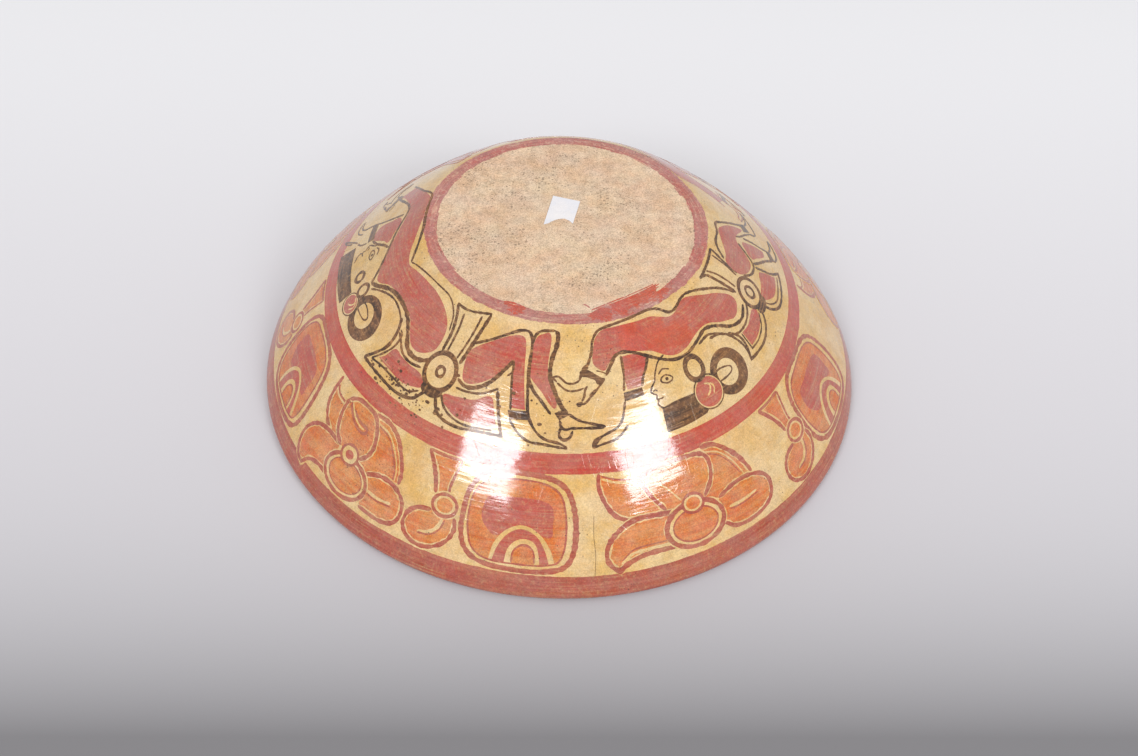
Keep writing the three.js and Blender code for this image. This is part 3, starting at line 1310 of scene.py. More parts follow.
    def band(self, top: np.ndarray, bottom: np.ndarray, degrees: np.ndarray, layer: int) -> None:
        """Adds a band right round the bowl.

        Args:
            top: its upper edge's distance at each angle.
            bottom: its lower edge's distance at each angle.
            degrees: the angles, from nothing to a full turn.
            layer: how many marks lie under it.
        """
        self._ribbon(np.stack([degrees, top], 1), np.stack([degrees, bottom], 1), False, layer)
        ends = []
        for face in self.work.faces:
            angles = [vertex.co.x for vertex in face.verts]
            if max(angles) < self.AT_END or min(angles) > 360 - self.AT_END:
                ends.append(face)
        bmesh.ops.delete(self.work, geom=ends, context="FACES")

    def finish(self, material: bpy.types.Material) -> bpy.types.Object:
        """Lays the coat on the wall.

        Args:
            material: the slip's material.

        Returns:
            The piece.
        """
        flat = np.array([vertex.co for vertex in self.work.verts])
        points, _ = self.surface.lay(flat[:, 0], flat[:, 1] / self.SCALE, flat[:, 2] / self.SCALE)
        for vertex, place in zip(self.work.verts, points):
            vertex.co = place
        bmesh.ops.remove_doubles(self.work, verts=self.work.verts, dist=WELD)
        bmesh.ops.recalc_face_normals(self.work, faces=self.work.faces)
        mesh_points = np.array([vertex.co for vertex in self.work.verts])
        piece = place_piece(self.name, self.work, material, self._facing(mesh_points))
        log.info("coat %s: %d faces", piece.name, len(piece.data.polygons))
        return piece

    def _facing(self, points: np.ndarray) -> np.ndarray:
        """Finds the wall's own normals under the coat.

        Args:
            points: places on the coat, one to a row.

        Returns:
            The wall's unit normal near each place.
        """
        surface = self.surface
        radius = np.hypot(points[:, 0], points[:, 1])
        away = np.hypot(radius[:, None] - surface.radius, points[:, 2:3] - surface.height)
        nearest = np.clip(away.argmin(1), 1, len(surface.rows) - 2)
        row = np.arange(len(points))
        before, after = away[row, nearest - 1], away[row, nearest + 1]
        other = np.where(before < after, nearest - 1, nearest + 1)
        share = away[row, nearest] / np.maximum(away[row, nearest] + away[row, other], 1e-9)
        normal_r = surface.normal_r[nearest] * (1 - share) + surface.normal_r[other] * share
        normal_z = surface.normal_z[nearest] * (1 - share) + surface.normal_z[other] * share
        angle = np.arctan2(points[:, 1], points[:, 0])
        ideal = np.stack([normal_r * np.cos(angle), normal_r * np.sin(angle), normal_z], 1)
        return surface.hand.facing(points, ideal)


class PaintBox:
    """One coat of each slip for a register of the painting, filled as its motifs are drawn."""

    SHORTEST_DEGREE = 0.6 * MM

    def __init__(self, name: str, surface: Surface, slips: dict[Paint, bpy.types.Material]) -> None:
        """Opens the box.

        Args:
            name: the register's name.
            surface: the wall.
            slips: the painter's slips.
        """
        self.name = name
        self.surface = surface
        self.slips = slips
        self.coats: dict[Paint, Coat] = {}
        self.laid: list[tuple[int, np.ndarray, np.ndarray]] = []

    def coat(self, paint: Paint) -> Coat:
        """Finds the register's coat of a slip, or starts it.

        Args:
            paint: the slip.

        Returns:
            The coat.
        """
        if paint not in self.coats:
            self.coats[paint] = Coat(f"{self.name}_{paint.value}", self.surface, paint)
        return self.coats[paint]

    def _layer(self, path: np.ndarray, reach: float, thick: int) -> int:
        """Finds how many coats lie under a new mark.

        Args:
            path: the mark's course, in degrees and metres.
            reach: how far the mark goes beyond its course, in metres.
            thick: how many coats the mark itself has.

        Returns:
            The number of the mark's lowest coat; bands right round the bowl have number 0.
        """
        margin = np.array([reach / self.SHORTEST_DEGREE, reach])
        low, high = path.min(0) - margin, path.max(0) + margin
        under = [top for top, start, end in self.laid if (low < end).all() and (start < high).all()]
        layer = max(under, default=0) + 1
        self.laid.append((layer + thick - 1, low, high))
        return layer

    def draw(self, motif: Sequence[Mark], placing: Placing) -> None:
        """Draws a motif, each mark over the one before.

        Args:
            motif: its marks, in the order of painting.
            placing: where it goes.
        """
        for mark in motif:
            path = placing.put(flowing(mark.path, mark.closed) + mark.shift)
            wide = (mark.width + 2 * mark.reserve) * MM
            layer = self._layer(path, wide, 2 if mark.reserve else 1)
            if mark.width == 0:
                self.coat(mark.paint).fill(path, layer)
            if mark.reserve:
                self.coat(Paint.CREAM).stroke(path, wide, mark.closed, layer)
                layer += 1
            if mark.width:
                self.coat(mark.paint).stroke(path, mark.width * MM, mark.closed, layer)

    def close(self) -> None:
        """Lays every coat on the wall."""
        for paint, coat in self.coats.items():
            coat.finish(self.slips[paint])


# The figures, drawn on one sheet for the whole wall. A leaf is where a part of the drawing starts on it.


CREAM, ORANGE, RED, RED_BROWN, DARK, WORN_AND_SHEEN_RED, BAND_RED = Paint
LEAVES = (0, 1000, 1800, 2800, 3400)

REACHING_HAND = (
    fill(DARK, "530,192 550,184 562,196 548,206 532,204"),
    fill(DARK, "508,212 545,203 572,212 602,227 634,243 652,250 628,270 604,268 594,252 566,242 545,236 "
               "524,234 510,226"),
    line(DARK, 0.8, "537,190 524,210 514,228 504,250"),
    line(DARK, 0.65, "347,238 380,232 405,243 430,258 465,261 492,254 506,246"),
    line(DARK, 0.6, "377,258 405,275 430,288 462,292 505,287 528,280"),
    fill(DARK, "350,236 362,240 378,256 364,252 352,246"),
    line(DARK, 0.75, "548,272 534,290 528,315 514,336"),
    fill(DARK, "484,346 500,338 520,340 514,352 496,358"),
    line(DARK, 0.65, "514,350 532,343 550,330 566,315 582,305 600,290 620,274 652,250"),
    fill(DARK, "556,312 572,298 592,288 598,298 580,312 564,322"),
    line(DARK, 0.4, "605,212 635,219 665,230"),
)


def specks(count: int, middle: tuple[float, float], spread: tuple[float, float]) -> tuple[Mark, ...]:
    """Scatters dark specks of several sizes.

    Args:
        count: how many there are.
        middle: where on the sheet they are thickest.
        spread: how far they stray from there.

    Returns:
        The marks.
    """
    chance = random.Random(count)
    marks = []
    for _ in range(count):
        x, y = (chance.gauss(place, reach) for place, reach in zip(middle, spread))
        size = chance.choice((2.4, 3.4, 4.4, 7.0))
        marks.append(fill(DARK, oval(x, y, size * chance.uniform(0.9, 1.9), size)))
    return tuple(marks)


CALM_FACE = (
    line(DARK, 0.55, "112,-112 60,-92 22,-52 4,-20! -34,18 -20,34! -8,40 -14,56! -6,64 -16,78! 0,96 34,112"),
    line(DARK, 0.5, "40,-12 66,-28 96,-22 112,-6 84,6 58,2", closed=True),
    fill(DARK, oval(78, -11, 10, 8)),
    line(DARK, 0.5, "36,-40 70,-56 112,-46"),
    line(DARK, 0.45, "-10,57 10,60 26,56"),
    line(DARK, 0.45, "-24,22 -8,18 4,26"),
)

UPPER_SASH = (
    line(DARK, 1.0, "-130,-285 -85,-235 -55,-165 -50,-80"),
    line(DARK, 0.7, "-45,-260 -25,-195 -20,-135 -20,-85"),
    line(DARK, 0.7, "85,-285 85,-245 75,-165 55,-80"),
    line(DARK, 1.2, "145,-305 130,-245 105,-145 85,-65"),
    line(DARK, 0.8, "-135,-285 -65,-280 5,-285 65,-295 148,-310"),
)


def knot(across: float, down: float, eye: float) -> tuple[Mark, ...]:
    """The belt's round knot, with a ring at its middle and the tie below.

    Args:
        across, down: its half sizes.
        eye: the middle ring's half width.

    Returns:
        The marks, about the knot's middle.
    """
    return (
        fill(DARK, "-46,60 0,68 46,60 64,86 34,110 -8,116 -60,98"),
        fill(DARK, oval(0, 0, across, down)),
        fill(CREAM, oval(0, 0, across * 0.77, down * 0.75)),
        line(DARK, 1.1, oval(2, 0, eye, eye * 0.9), closed=True),
    )


def ear(plug: float, pad: tuple[float, float], ring: tuple[float, float],
        ring_size: float) -> tuple[Mark, ...]:
    """The ear's plug, the tasselled pad below it and the broad ring behind.

    Args:
        plug: the plug's half width.
        pad: the pad's middle.
        ring: the ring's middle.
        ring_size: the ring's half width.

    Returns:
        The marks, about the plug's middle.
    """
    ring_marks = (
        fill(DARK, oval(0, 0, ring_size, 104)),
        fill(CREAM, oval(-12, -2, ring_size * 0.56, 60)),
        line(DARK, 0.6, "-110,-26 -50,-34 6,-22 24,-6 0,10 -90,14"),
    )
    pad_marks = (
        fill(CREAM, oval(0, 0, plug + 19, plug + 7)),
        fill(RED, oval(0, 0, plug + 10, plug - 2)),
        line(DARK, 0.45, oval(0, 0, plug + 19, plug + 7), closed=True),
        line(CREAM, 0.6, "-8,-40 20,-26 8,0 -16,14"),
        line(CREAM, 0.45, "26,-32 38,-8 22,18"),
    )
    plug_marks = (
        fill(DARK, oval(0, 0, plug, plug * 0.96)),
        fill(CREAM, oval(0, 0, plug * 0.60, plug * 0.58)),
    )
    return moved(*ring, ring_marks) + moved(*pad, pad_marks) + plug_marks


FIRST_FIGURE = moved(LEAVES[0], 0, (
    fill(RED, "60,50 130,15 250,14 400,15 520,35 620,60 700,90 780,110 820,112 900,95 1000,82 1100,78 "
              "1180,80 1300,105 1390,150 1425,200 1425,270 1400,300 1330,330 1270,325 1220,295 1160,250 "
              "1100,230 1000,220 900,225 820,245 760,280 720,290 680,275 620,245 560,215 480,175 400,150 "
              "300,125 200,120 130,140 60,180 0,220 -50,270! -120,200! -60,130 0,85"),
    fill(RED, "250,170 320,150 400,180 460,210 420,240 370,290 340,320 260,320 230,290 240,220"),
    line(DARK, 0.9, "-150,230 -80,160 0,90 50,40 100,12 200,5 330,3 470,5 560,15 650,35 720,60 800,100"),
    line(DARK, 0.5, "800,100 870,80 1000,60 1150,52 1300,60 1400,110 1440,180"),
    line(DARK, 1.0, "-70,310 10,240 100,165 180,130 260,130 330,145 400,165 460,180 520,200 580,225 "
                    "640,260 680,295 705,325"),
    line(DARK, 0.9, "235,150 215,220 190,300 165,360 150,430"),
    line(DARK, 0.9, "515,205 460,240 400,290 335,330"),
    fill(DARK, "172,332! 328,322! 322,366! 165,376!"),
    line(DARK, 0.7, "160,385 150,440 110,480 40,495"),
    line(DARK, 0.7, "40,508 110,508 160,482 190,440"),
    line(DARK, 0.7, "320,375 300,420 240,470 200,520 150,590"),
    line(DARK, 0.7, "150,592 190,560 228,505"),
    fill(DARK, "290,455! 650,450! 650,535! 282,565!"),
    line(CREAM, 0.8, "240,430 262,450 258,500 230,560"),
    line(DARK, 1.5, "705,325 760,300 830,260 900,235 980,226 1060,232 1130,250 1200,295 1260,345 1330,358 "
                    "1390,345 1420,325"),
    line(DARK, 0.7, "745,335 800,300 880,265 960,250 1040,258 1110,282"),
    line(DARK, 1.1, "1100,270 1140,330 1145,400 1110,460 1065,515"),
    line(DARK, 1.2, oval(590, 389, 33, 28), closed=True),
)) + moved(708, 380, ear(46, (14, 88), (172, 40), 135)) + moved(400, 325, CALM_FACE)

FIRST_FIGURE += moved(-590, 75, REACHING_HAND) + moved(LEAVES[1], 0, (
    fill(RED, "145,465! 170,440 200,385 260,390 330,395 400,395 440,410 460,440 420,460 350,475 250,470"),
    fill(RED, "585,430 650,410 750,395 832,362 866,410 892,470! 830,488 760,490 700,490 640,470"),
    fill(RED, "622,225 650,190 720,150 820,105 900,85 945,90 965,125 978,200 1000,300 1022,385! 945,385! "
              "925,300 905,190! 880,215 840,260 790,300 730,330 680,342 645,322"),
    line(DARK, 1.0, "65,515! 200,520 350,525 440,505 480,460 500,430"),
    line(DARK, 0.7, "108,492 200,482 300,486 400,490 455,462"),
    line(DARK, 0.7, "108,492 150,440 183,380 180,325 150,308"),
    line(DARK, 0.8, "150,320 190,340 250,375 320,386 400,375"),
    line(DARK, 1.0, "548,440 590,500 640,520 720,525 800,515 928,508! 892,420 860,330"),
    line(DARK, 0.7, "575,425 610,465 660,492 740,506 880,495"),
    line(DARK, 0.9, "625,180 720,140 820,95 900,65 960,60 990,80 1003,120 1005,200 1020,300 1040,400 "
                    "1080,460 1130,495 1200,510 1240,528"),
    line(DARK, 1.2, "625,338 680,356 740,345 800,310 850,260 908,192"),
    line(DARK, 0.7, "635,375 700,374 780,360 862,322"),
    line(DARK, 0.7, "908,192 915,240 890,262"),
    line(DARK, 0.7, "915,240 930,310 948,395"),
    fill(DARK, "935,398! 1030,388! 1048,425! 950,432!"),
    line(DARK, 0.8, "950,432 1000,480 1060,512 1130,518 1240,532"),
)) + moved(1515, 345, UPPER_SASH + knot(105, 92, 24)) + moved(LEAVES[2], 0, (
    fill(RED, "215,100 230,75 270,60 310,55 325,80 320,140 318,200 335,250 360,300 380,335 375,365 345,350 "
              "300,305 240,260 210,230 205,160"),
    line(DARK, 0.9, "203,110 208,170 215,250 250,300 300,340 355,392"),
    line(DARK, 0.8, "203,110 215,70 250,50 300,45 350,42"),
    line(DARK, 1.3, "350,42 368,60 362,110 340,160 335,230 370,300 410,360 440,385"),
    fill(DARK, "372,385! 425,366! 444,392! 398,414!"),
    line(DARK, 0.8, "440,385 500,415 560,430 600,440 628,447"),
    line(DARK, 0.8, "400,412 408,440 430,452 462,446 620,450"),
    line(DARK, 0.9, "408,442 400,475 420,495 450,485 465,456"),
))

SECOND_FIGURE = moved(LEAVES[2], 0, (
    fill(RED, "600,130 620,80 680,45 760,40 850,38 950,40 1060,42 1130,60 1200,78 1260,75 1330,55 1400,50 "
              "1480,70 1560,100 1640,130 1700,165 1740,200 1745,235 1700,265 1640,275 1590,260 1520,235 "
              "1450,205 1380,195 1300,205 1200,230 1120,235 1060,220 980,182 900,165 800,152 750,155 700,180 "
              "660,215 620,205 590,175"),
    fill(RED, "775,170! 850,170 930,195! 900,240 870,270 850,310! 770,310! 765,250"),
    line(DARK, 0.9, "555,192 590,130 600,90 640,50 700,35 800,25 900,18 1000,12 1080,12 1150,28 1210,60 "
                    "1260,65 1310,55 1370,42 1440,40 1530,60 1600,85 1680,120 1740,160 1790,212"),
    line(DARK, 1.1, "660,238 700,195 740,160 800,153 870,168 940,195 1000,220 1060,242 1120,254 1200,252 "
                    "1300,228 1380,210 1440,220 1500,245 1560,280 1620,300 1690,306 1770,278"),
    line(DARK, 0.8, "1290,247 1380,238 1440,258 1500,290 1550,320 1600,335 1680,335 1750,318 1800,290"),
    line(DARK, 0.8, "772,165 765,250 748,315"),
    line(DARK, 0.8, "938,196 905,242 875,275 855,312"),
    fill(DARK, "745,320! 852,314! 856,350! 742,356!"),
    line(DARK, 0.8, "745,355 700,445 600,490 556,532"),
    line(DARK, 0.8, "556,532 600,520 680,500 740,455"),
    line(DARK, 0.7, "556,530 570,500 620,480"),
    fill(DARK, "930,424! 1020,414 1160,418! 1172,500 1150,520! 1040,528 922,530!"),
)) + moved(LEAVES[2], 0, REACHING_HAND) + moved(LEAVES[3], 0, (
    line(DARK, 0.9, "380,255 460,270 520,310 555,370 560,420 545,458"),
    fill(RED, "610,347! 690,350 760,335 800,332 825,350 800,385 740,410 670,420 610,420!"),
    line(DARK, 0.9, "520,295 570,340 577,390 545,457! 620,462 700,462 780,442 840,402 862,355"),
    line(DARK, 0.6, "600,345 598,430! 680,432 760,415 825,372"),
    line(DARK, 1.1, "645,38 710,55 750,110 790,190 800,222"),
    line(DARK, 0.7, "745,45 790,90 820,150 835,208"),
    line(DARK, 0.7, "930,42 935,120 930,195"),
    line(DARK, 1.0, "990,28 970,70 955,110 952,195"),
    line(DARK, 1.0, "640,42 750,36 870,32 992,28"),
)) + moved(2988, 322, ear(68, (20, 120), (190, 98), 124)) + moved(2730, 325, CALM_FACE)

SECOND_FIGURE += moved(LEAVES[4], 0, (
    fill(RED, "365,130 450,115 520,100 600,85 680,80 740,110 800,160 840,220 860,280! 830,265 780,230 "
              "720,200 660,200 600,240 540,275 470,270 400,240 360,200"),
    fill(RED, "340,365 430,350 520,335 545,360 570,400 592,452! 520,455 440,445 390,420 350,390"),
    fill(RED, "600,290 650,250 700,240 730,280 755,340 762,402! 720,400 680,370 640,330"),
    line(DARK, 1.0, "385,108 440,72 500,55 560,58 640,68 740,70 790,115 850,190 900,270 942,332"),
    line(DARK, 1.0, "380,235 430,272 480,292 550,295 610,250 660,205"),
    line(DARK, 0.8, "722,200 760,240 820,290 872,345"),
    fill(DARK, "850,290! 915,278! 942,325! 885,345!"),
    line(DARK, 0.8, "942,332 1000,370 1060,385 1110,395"),
    line(DARK, 0.8, "872,345 895,392 950,405 1108,398"),
    line(DARK, 1.0, "305,400 330,440 380,480 450,497 560,497 657,490! 600,430 560,350 540,310"),
    line(DARK, 0.6, "328,390 362,432 420,466 500,472 612,472"),
    line(DARK, 1.0, "560,300 620,350 680,400 740,468"),
    line(DARK, 0.9, "758,258 780,330 788,400 802,452"),
    fill(DARK, "725,452! 795,435! 812,470! 745,488!"),
    line(DARK, 0.8, "745,488 800,520 880,528 940,520"),
    line(DARK, 0.8, "808,462 850,490 900,505 940,516"),
)) + moved(3695, 290, knot(105, 85, 34))


@dataclass(frozen=True)
class FigureFrieze:
    """The three figures that lie head to foot round the upper wall.

    A cloud of specks has how many there are, where they are thickest and how far they stray.
    """

    surface: Surface
    slips: dict[Paint, bpy.types.Material]
    hidden_degrees: float = 31.0
    hidden_run: float = 1.0
    speck_clouds: tuple[tuple, ...] = ((90, (1385, 500), (115, 38)), (18, (1900, 380), (260, 110)))

    def build(self) -> None:
        """Paints the two figures that the front shows, and behind a third like the first, with red lines."""
        hidden_figure = tuple(replace(mark, paint=RED_BROWN) if mark.paint is DARK and mark.width else mark
                              for mark in FIRST_FIGURE)
        box = PaintBox("figures", self.surface, self.slips)
        box.draw(FIRST_FIGURE, Placing())
        box.draw(SECOND_FIGURE, Placing())
        box.draw(hidden_figure, Placing(degrees=self.hidden_degrees, run=self.hidden_run))
        for count, middle, spread in self.speck_clouds:
            box.draw(specks(count, middle, spread), Placing())
        box.close()


# The ornaments, each drawn about its own middle


OUTLINE = 1.38
GAP = 0.34

CARTOUCHE_MIDDLE = (262.0, 855.0)
CARTOUCHE_FIELD = ("70,760 65,860 77,930 102,992 150,1023 250,1028 400,1016 430,972 441,880 436,790 416,724 "
                   "372,690 300,673 200,675 115,696")
CARTOUCHE = (
    fill(ORANGE, CARTOUCHE_FIELD),
    fill(RED, "130,762 200,750 290,745 362,758 388,785 390,860 382,905 320,880 272,868 225,885 178,918 "
              "135,885 116,850 116,800"),
    fill(CREAM, "166,1027! 178,950 216,888 274,860 334,884 382,950 402,1020!"),
    fill(RED, "178,1027! 194,958 226,902 274,876 330,900 364,958 382,1020!"),
    fill(CREAM, "222,1027! 230,968 252,932 287,916 326,932 344,984 348,1024!"),
    fill(ORANGE, "248,1025! 252,972 284,942 320,960 330,1022!"),
    line(RED_BROWN, 0.6, "248,1023 252,972 284,942 320,960 330,1020"),
    line(RED_BROWN, 0.6, CARTOUCHE_FIELD, closed=True),
    line(RED_BROWN, 1.65, "47,760 43,850 49,930 75,1000 130,1041 250,1054 360,1051 432,1031 464,980 477,880 "
                          "470,780 446,710 401,670 330,650 230,645 130,653 77,692", closed=True),
)

PREFIX_MIDDLE = (730.0, 850.0)
PREFIX = (
    fill(ORANGE, "655,665! 785,655! 770,720 768,808! 728,808! 715,750 690,700"),
    line(RED_BROWN, OUTLINE, "632,648 670,700 700,760 716,815", reserve=GAP),
    line(RED_BROWN, 0.9, "790,650 775,720 768,770 772,815", reserve=GAP),
    line(RED_BROWN, 0.9, "632,650 700,652 790,648"),
    fill(ORANGE, "720,890 660,908 628,960 642,1020 692,1050 745,1043 798,998 818,940 812,895 765,905"),
    line(RED_BROWN, OUTLINE, "720,888 660,905 625,960 640,1022 690,1054 748,1046 802,1000 824,940 815,892",
         reserve=GAP),
    line(CREAM, 1.1, "772,910 758,955 730,985 688,1000"),
    line(RED_BROWN, 0.6, "782,912 768,962 736,994 690,1004"),
    fill(ORANGE, oval(766, 852, 46, 44)),
    line(RED_BROWN, 1.1, oval(766, 852, 50, 47), closed=True, reserve=GAP),
    line(CREAM, 0.5, oval(766, 852, 36, 34), closed=True),
)

FLOWER_MIDDLE = (303.0, 872.0)
FLOWER = (
    fill(ORANGE, "42,655! 44,720 60,780 100,830 160,862 235,872! 190,830 165,770 150,712! 80,706"),
    line(RED_BROWN, OUTLINE, "42,650 45,720 60,780 100,830 160,865 235,876", reserve=GAP),
    line(RED_BROWN, 0.6, "48,690 85,712 150,716"),
    line(CREAM, 0.6, "52,702 85,722 152,727"),
    fill(ORANGE, "320,655! 400,650 470,680 520,740 550,800 555,850! 500,860 440,880 405,900! 350,860 "
                 "380,820 385,770 360,710"),
    line(RED_BROWN, OUTLINE, "320,652 400,648 470,678 522,740 552,800 558,855", reserve=GAP),
    line(CREAM, 0.5, "352,676 430,690 488,740 526,800 536,852"),
    line(RED_BROWN, 0.4, "352,684 428,700 480,748 518,806 528,850"),
    fill(ORANGE, "410,892 470,866 540,870 590,905 603,960 588,1008 540,1032 440,1030 430,960"),
    line(RED_BROWN, OUTLINE, "405,895 470,864 540,868 592,905 607,960 592,1012 542,1038 432,1034",
         reserve=GAP),
    line(CREAM, 0.9, "445,950 500,955 558,946"),
    line(RED_BROWN, 0.45, "445,962 500,967 562,958"),
    fill(ORANGE, "232,872 150,867 82,892 42,950 42,1020 70,1070 98,1085! 130,1040 180,1022 232,1022! "
                 "222,960"),
    line(RED_BROWN, OUTLINE, "235,870 150,865 80,890 38,950 38,1020 68,1075 102,1088! 132,1042 180,1020 "
                             "245,1022", reserve=GAP),
    line(CREAM, 0.8, "122,1072 152,1048 212,1043 255,1050"),
    fill(ORANGE, "152,692 200,660 260,655 320,665 362,710 385,770 380,820 350,858 300,868 242,866 "
                 "190,830 160,760"),
    line(RED_BROWN, OUTLINE, "150,690 200,658 260,653 322,662 364,708 388,770 382,822 350,862", reserve=GAP),
    line(RED_BROWN, OUTLINE, "150,690 158,760 190,830 240,870", reserve=GAP),
    line(RED_BROWN, 1.0, "172,692 218,732 275,758 316,756 318,734 262,728 205,704"),
    line(CREAM, 0.5, "182,690 230,726 280,744 306,744"),
    fill(CREAM, oval(325, 965, 106, 84)),
    line(RED_BROWN, OUTLINE, oval(325, 965, 110, 88), closed=True, reserve=GAP),
    fill(ORANGE, oval(327, 963, 88, 67)),
    line(RED_BROWN, 0.45, oval(327, 963, 88, 67), closed=True),
    fill(CREAM, oval(303, 872, 42, 40)),
    line(RED_BROWN, 0.9, oval(303, 872, 45, 43), closed=True),
    fill(RED, oval(303, 872, 22, 20)),
)

SPREADING_FLOWER_MIDDLE = (945.0, 852.0)
SPREADING_FLOWER = (
    fill(ORANGE, "575,645! 574,700 602,778 642,828 702,848 830,850! 800,790 740,690! 660,675"),
    line(RED_BROWN, OUTLINE, "575,640 572,700 600,780 640,832 702,853 800,856 890,858", reserve=GAP),
    line(RED_BROWN, 0.5, "585,652 650,672 742,684"),
    line(CREAM, 0.7, "585,664 650,685 745,697"),
    fill(ORANGE, "1050,642! 1110,655 1160,700 1200,760 1225,820 1230,845! 1140,855 1060,875! 1000,840 "
                 "1040,770 1058,700"),
    line(RED_BROWN, 1.5, "1045,638 1110,650 1165,698 1205,756 1230,820 1235,848", reserve=GAP),
    line(CREAM, 0.5, "1062,665 1120,690 1165,745 1195,820 1200,848"),
    line(RED_BROWN, 0.4, "1060,674 1112,700 1155,752 1185,822"),
    fill(ORANGE, "1060,872 1140,852 1220,857 1280,892 1293,940 1270,998 1200,1028 1100,1023 1060,985"),
    line(RED_BROWN, OUTLINE, "1055,872 1140,848 1220,853 1283,890 1298,940 1273,1002 1200,1033 "
                             "1100,1028 1050,985", reserve=GAP),
    line(CREAM, 0.9, "1088,932 1150,936 1225,930"),
    line(RED_BROWN, 0.45, "1088,943 1150,948 1228,942"),
    fill(ORANGE, "742,690 800,664 880,655 960,655 1030,668 1058,700 1045,770 1000,835 940,850 832,838 "
                 "780,770"),
    line(RED_BROWN, OUTLINE, "740,682 780,765 832,842", reserve=GAP),
    line(RED_BROWN, OUTLINE, "740,682 800,660 880,650 970,650 1040,664 1064,700 1050,775 1000,840",
         reserve=GAP),
    line(CREAM, 0.5, "790,700 850,750 900,820"),
    fill(ORANGE, "860,866 720,852 652,882 604,940 594,1000 612,1038 634,1052! 665,1028 730,1002 870,1000! "
                 "880,930"),
    line(RED_BROWN, 1.65, "870,858 720,850 650,880 598,940 588,1000 608,1042 632,1060! 662,1034 730,1008 "
                          "850,1006", reserve=GAP),
    line(CREAM, 0.9, "638,1030 690,992 830,986"),
    line(RED_BROWN, 0.45, "640,1018 692,976 830,970"),
    fill(CREAM, oval(938, 938, 112, 90)),
    line(RED_BROWN, 1.5, oval(938, 938, 119, 97), closed=True, reserve=GAP),
    fill(ORANGE, oval(938, 940, 93, 72)),
    line(RED_BROWN, 0.5, oval(938, 940, 93, 72), closed=True),
    fill(CREAM, oval(945, 848, 42, 38)),
    line(RED_BROWN, 0.9, oval(945, 848, 45, 41), closed=True),
    fill(ORANGE, oval(945, 848, 30, 26)),
)


@dataclass(frozen=True)
class OrnamentBand:
    """The lower wall's row of cartouches, each with its prefix on the left, and the flowers between them.

    An ornament's place is its angle in degrees, then how wide it is drawn and, for a cartouche, how it leans.
    The runs are the distances of their middles down the wall, in millimetres.
    """

    surface: Surface
    slips: dict[Paint, bpy.types.Material]
    cartouche_run: float = 56.0
    prefix_run: float = 55.7
    flower_run: float = 57.1
    spreading_flower_run: float = 55.8
    cartouches: tuple[tuple[float, float, float], ...] = (
        (199.2, 0.90, 0.10),
        (263.1, 1.0, 0.0),
        (341.0, 1.0, 0.03),
        (54.0, 0.98, 0.0),
        (126.0, 1.0, -0.04),
    )
    prefixes: tuple[tuple[float, float], ...] = (
        (183.8, 0.95),
        (246.5, 1.0),
        (325.0, 1.0),
        (37.5, 1.0),
        (109.5, 1.0),
    )
    flowers: tuple[tuple[float, float], ...] = ((225.15, 1.0), (18.0, 1.0), (159.0, 0.95))
    spreading_flowers: tuple[float, ...] = (297.25, 90.0)
    crack: str = "2346,815 2343,900 2347,985 2342,1072"
    crack_width: float = 0.10

    def build(self) -> None:
        """Paints the ornaments, each kind from the left of the photograph's view round to the back."""
        box = PaintBox("ornament", self.surface, self.slips)
        for degrees, wide, skew in self.cartouches:
            box.draw(CARTOUCHE, Placing(CARTOUCHE_MIDDLE, degrees, self.cartouche_run, wide, 1.0, skew))
        for degrees, wide in self.prefixes:
            box.draw(PREFIX, Placing(PREFIX_MIDDLE, degrees, self.prefix_run, wide))
        for degrees, wide in self.flowers:
            box.draw(FLOWER, Placing(FLOWER_MIDDLE, degrees, self.flower_run, wide))
        for degrees in self.spreading_flowers:
            box.draw(SPREADING_FLOWER, Placing(SPREADING_FLOWER_MIDDLE, degrees, self.spreading_flower_run))
        box.draw((line(DARK, self.crack_width, self.crack),), Placing())
        box.close()


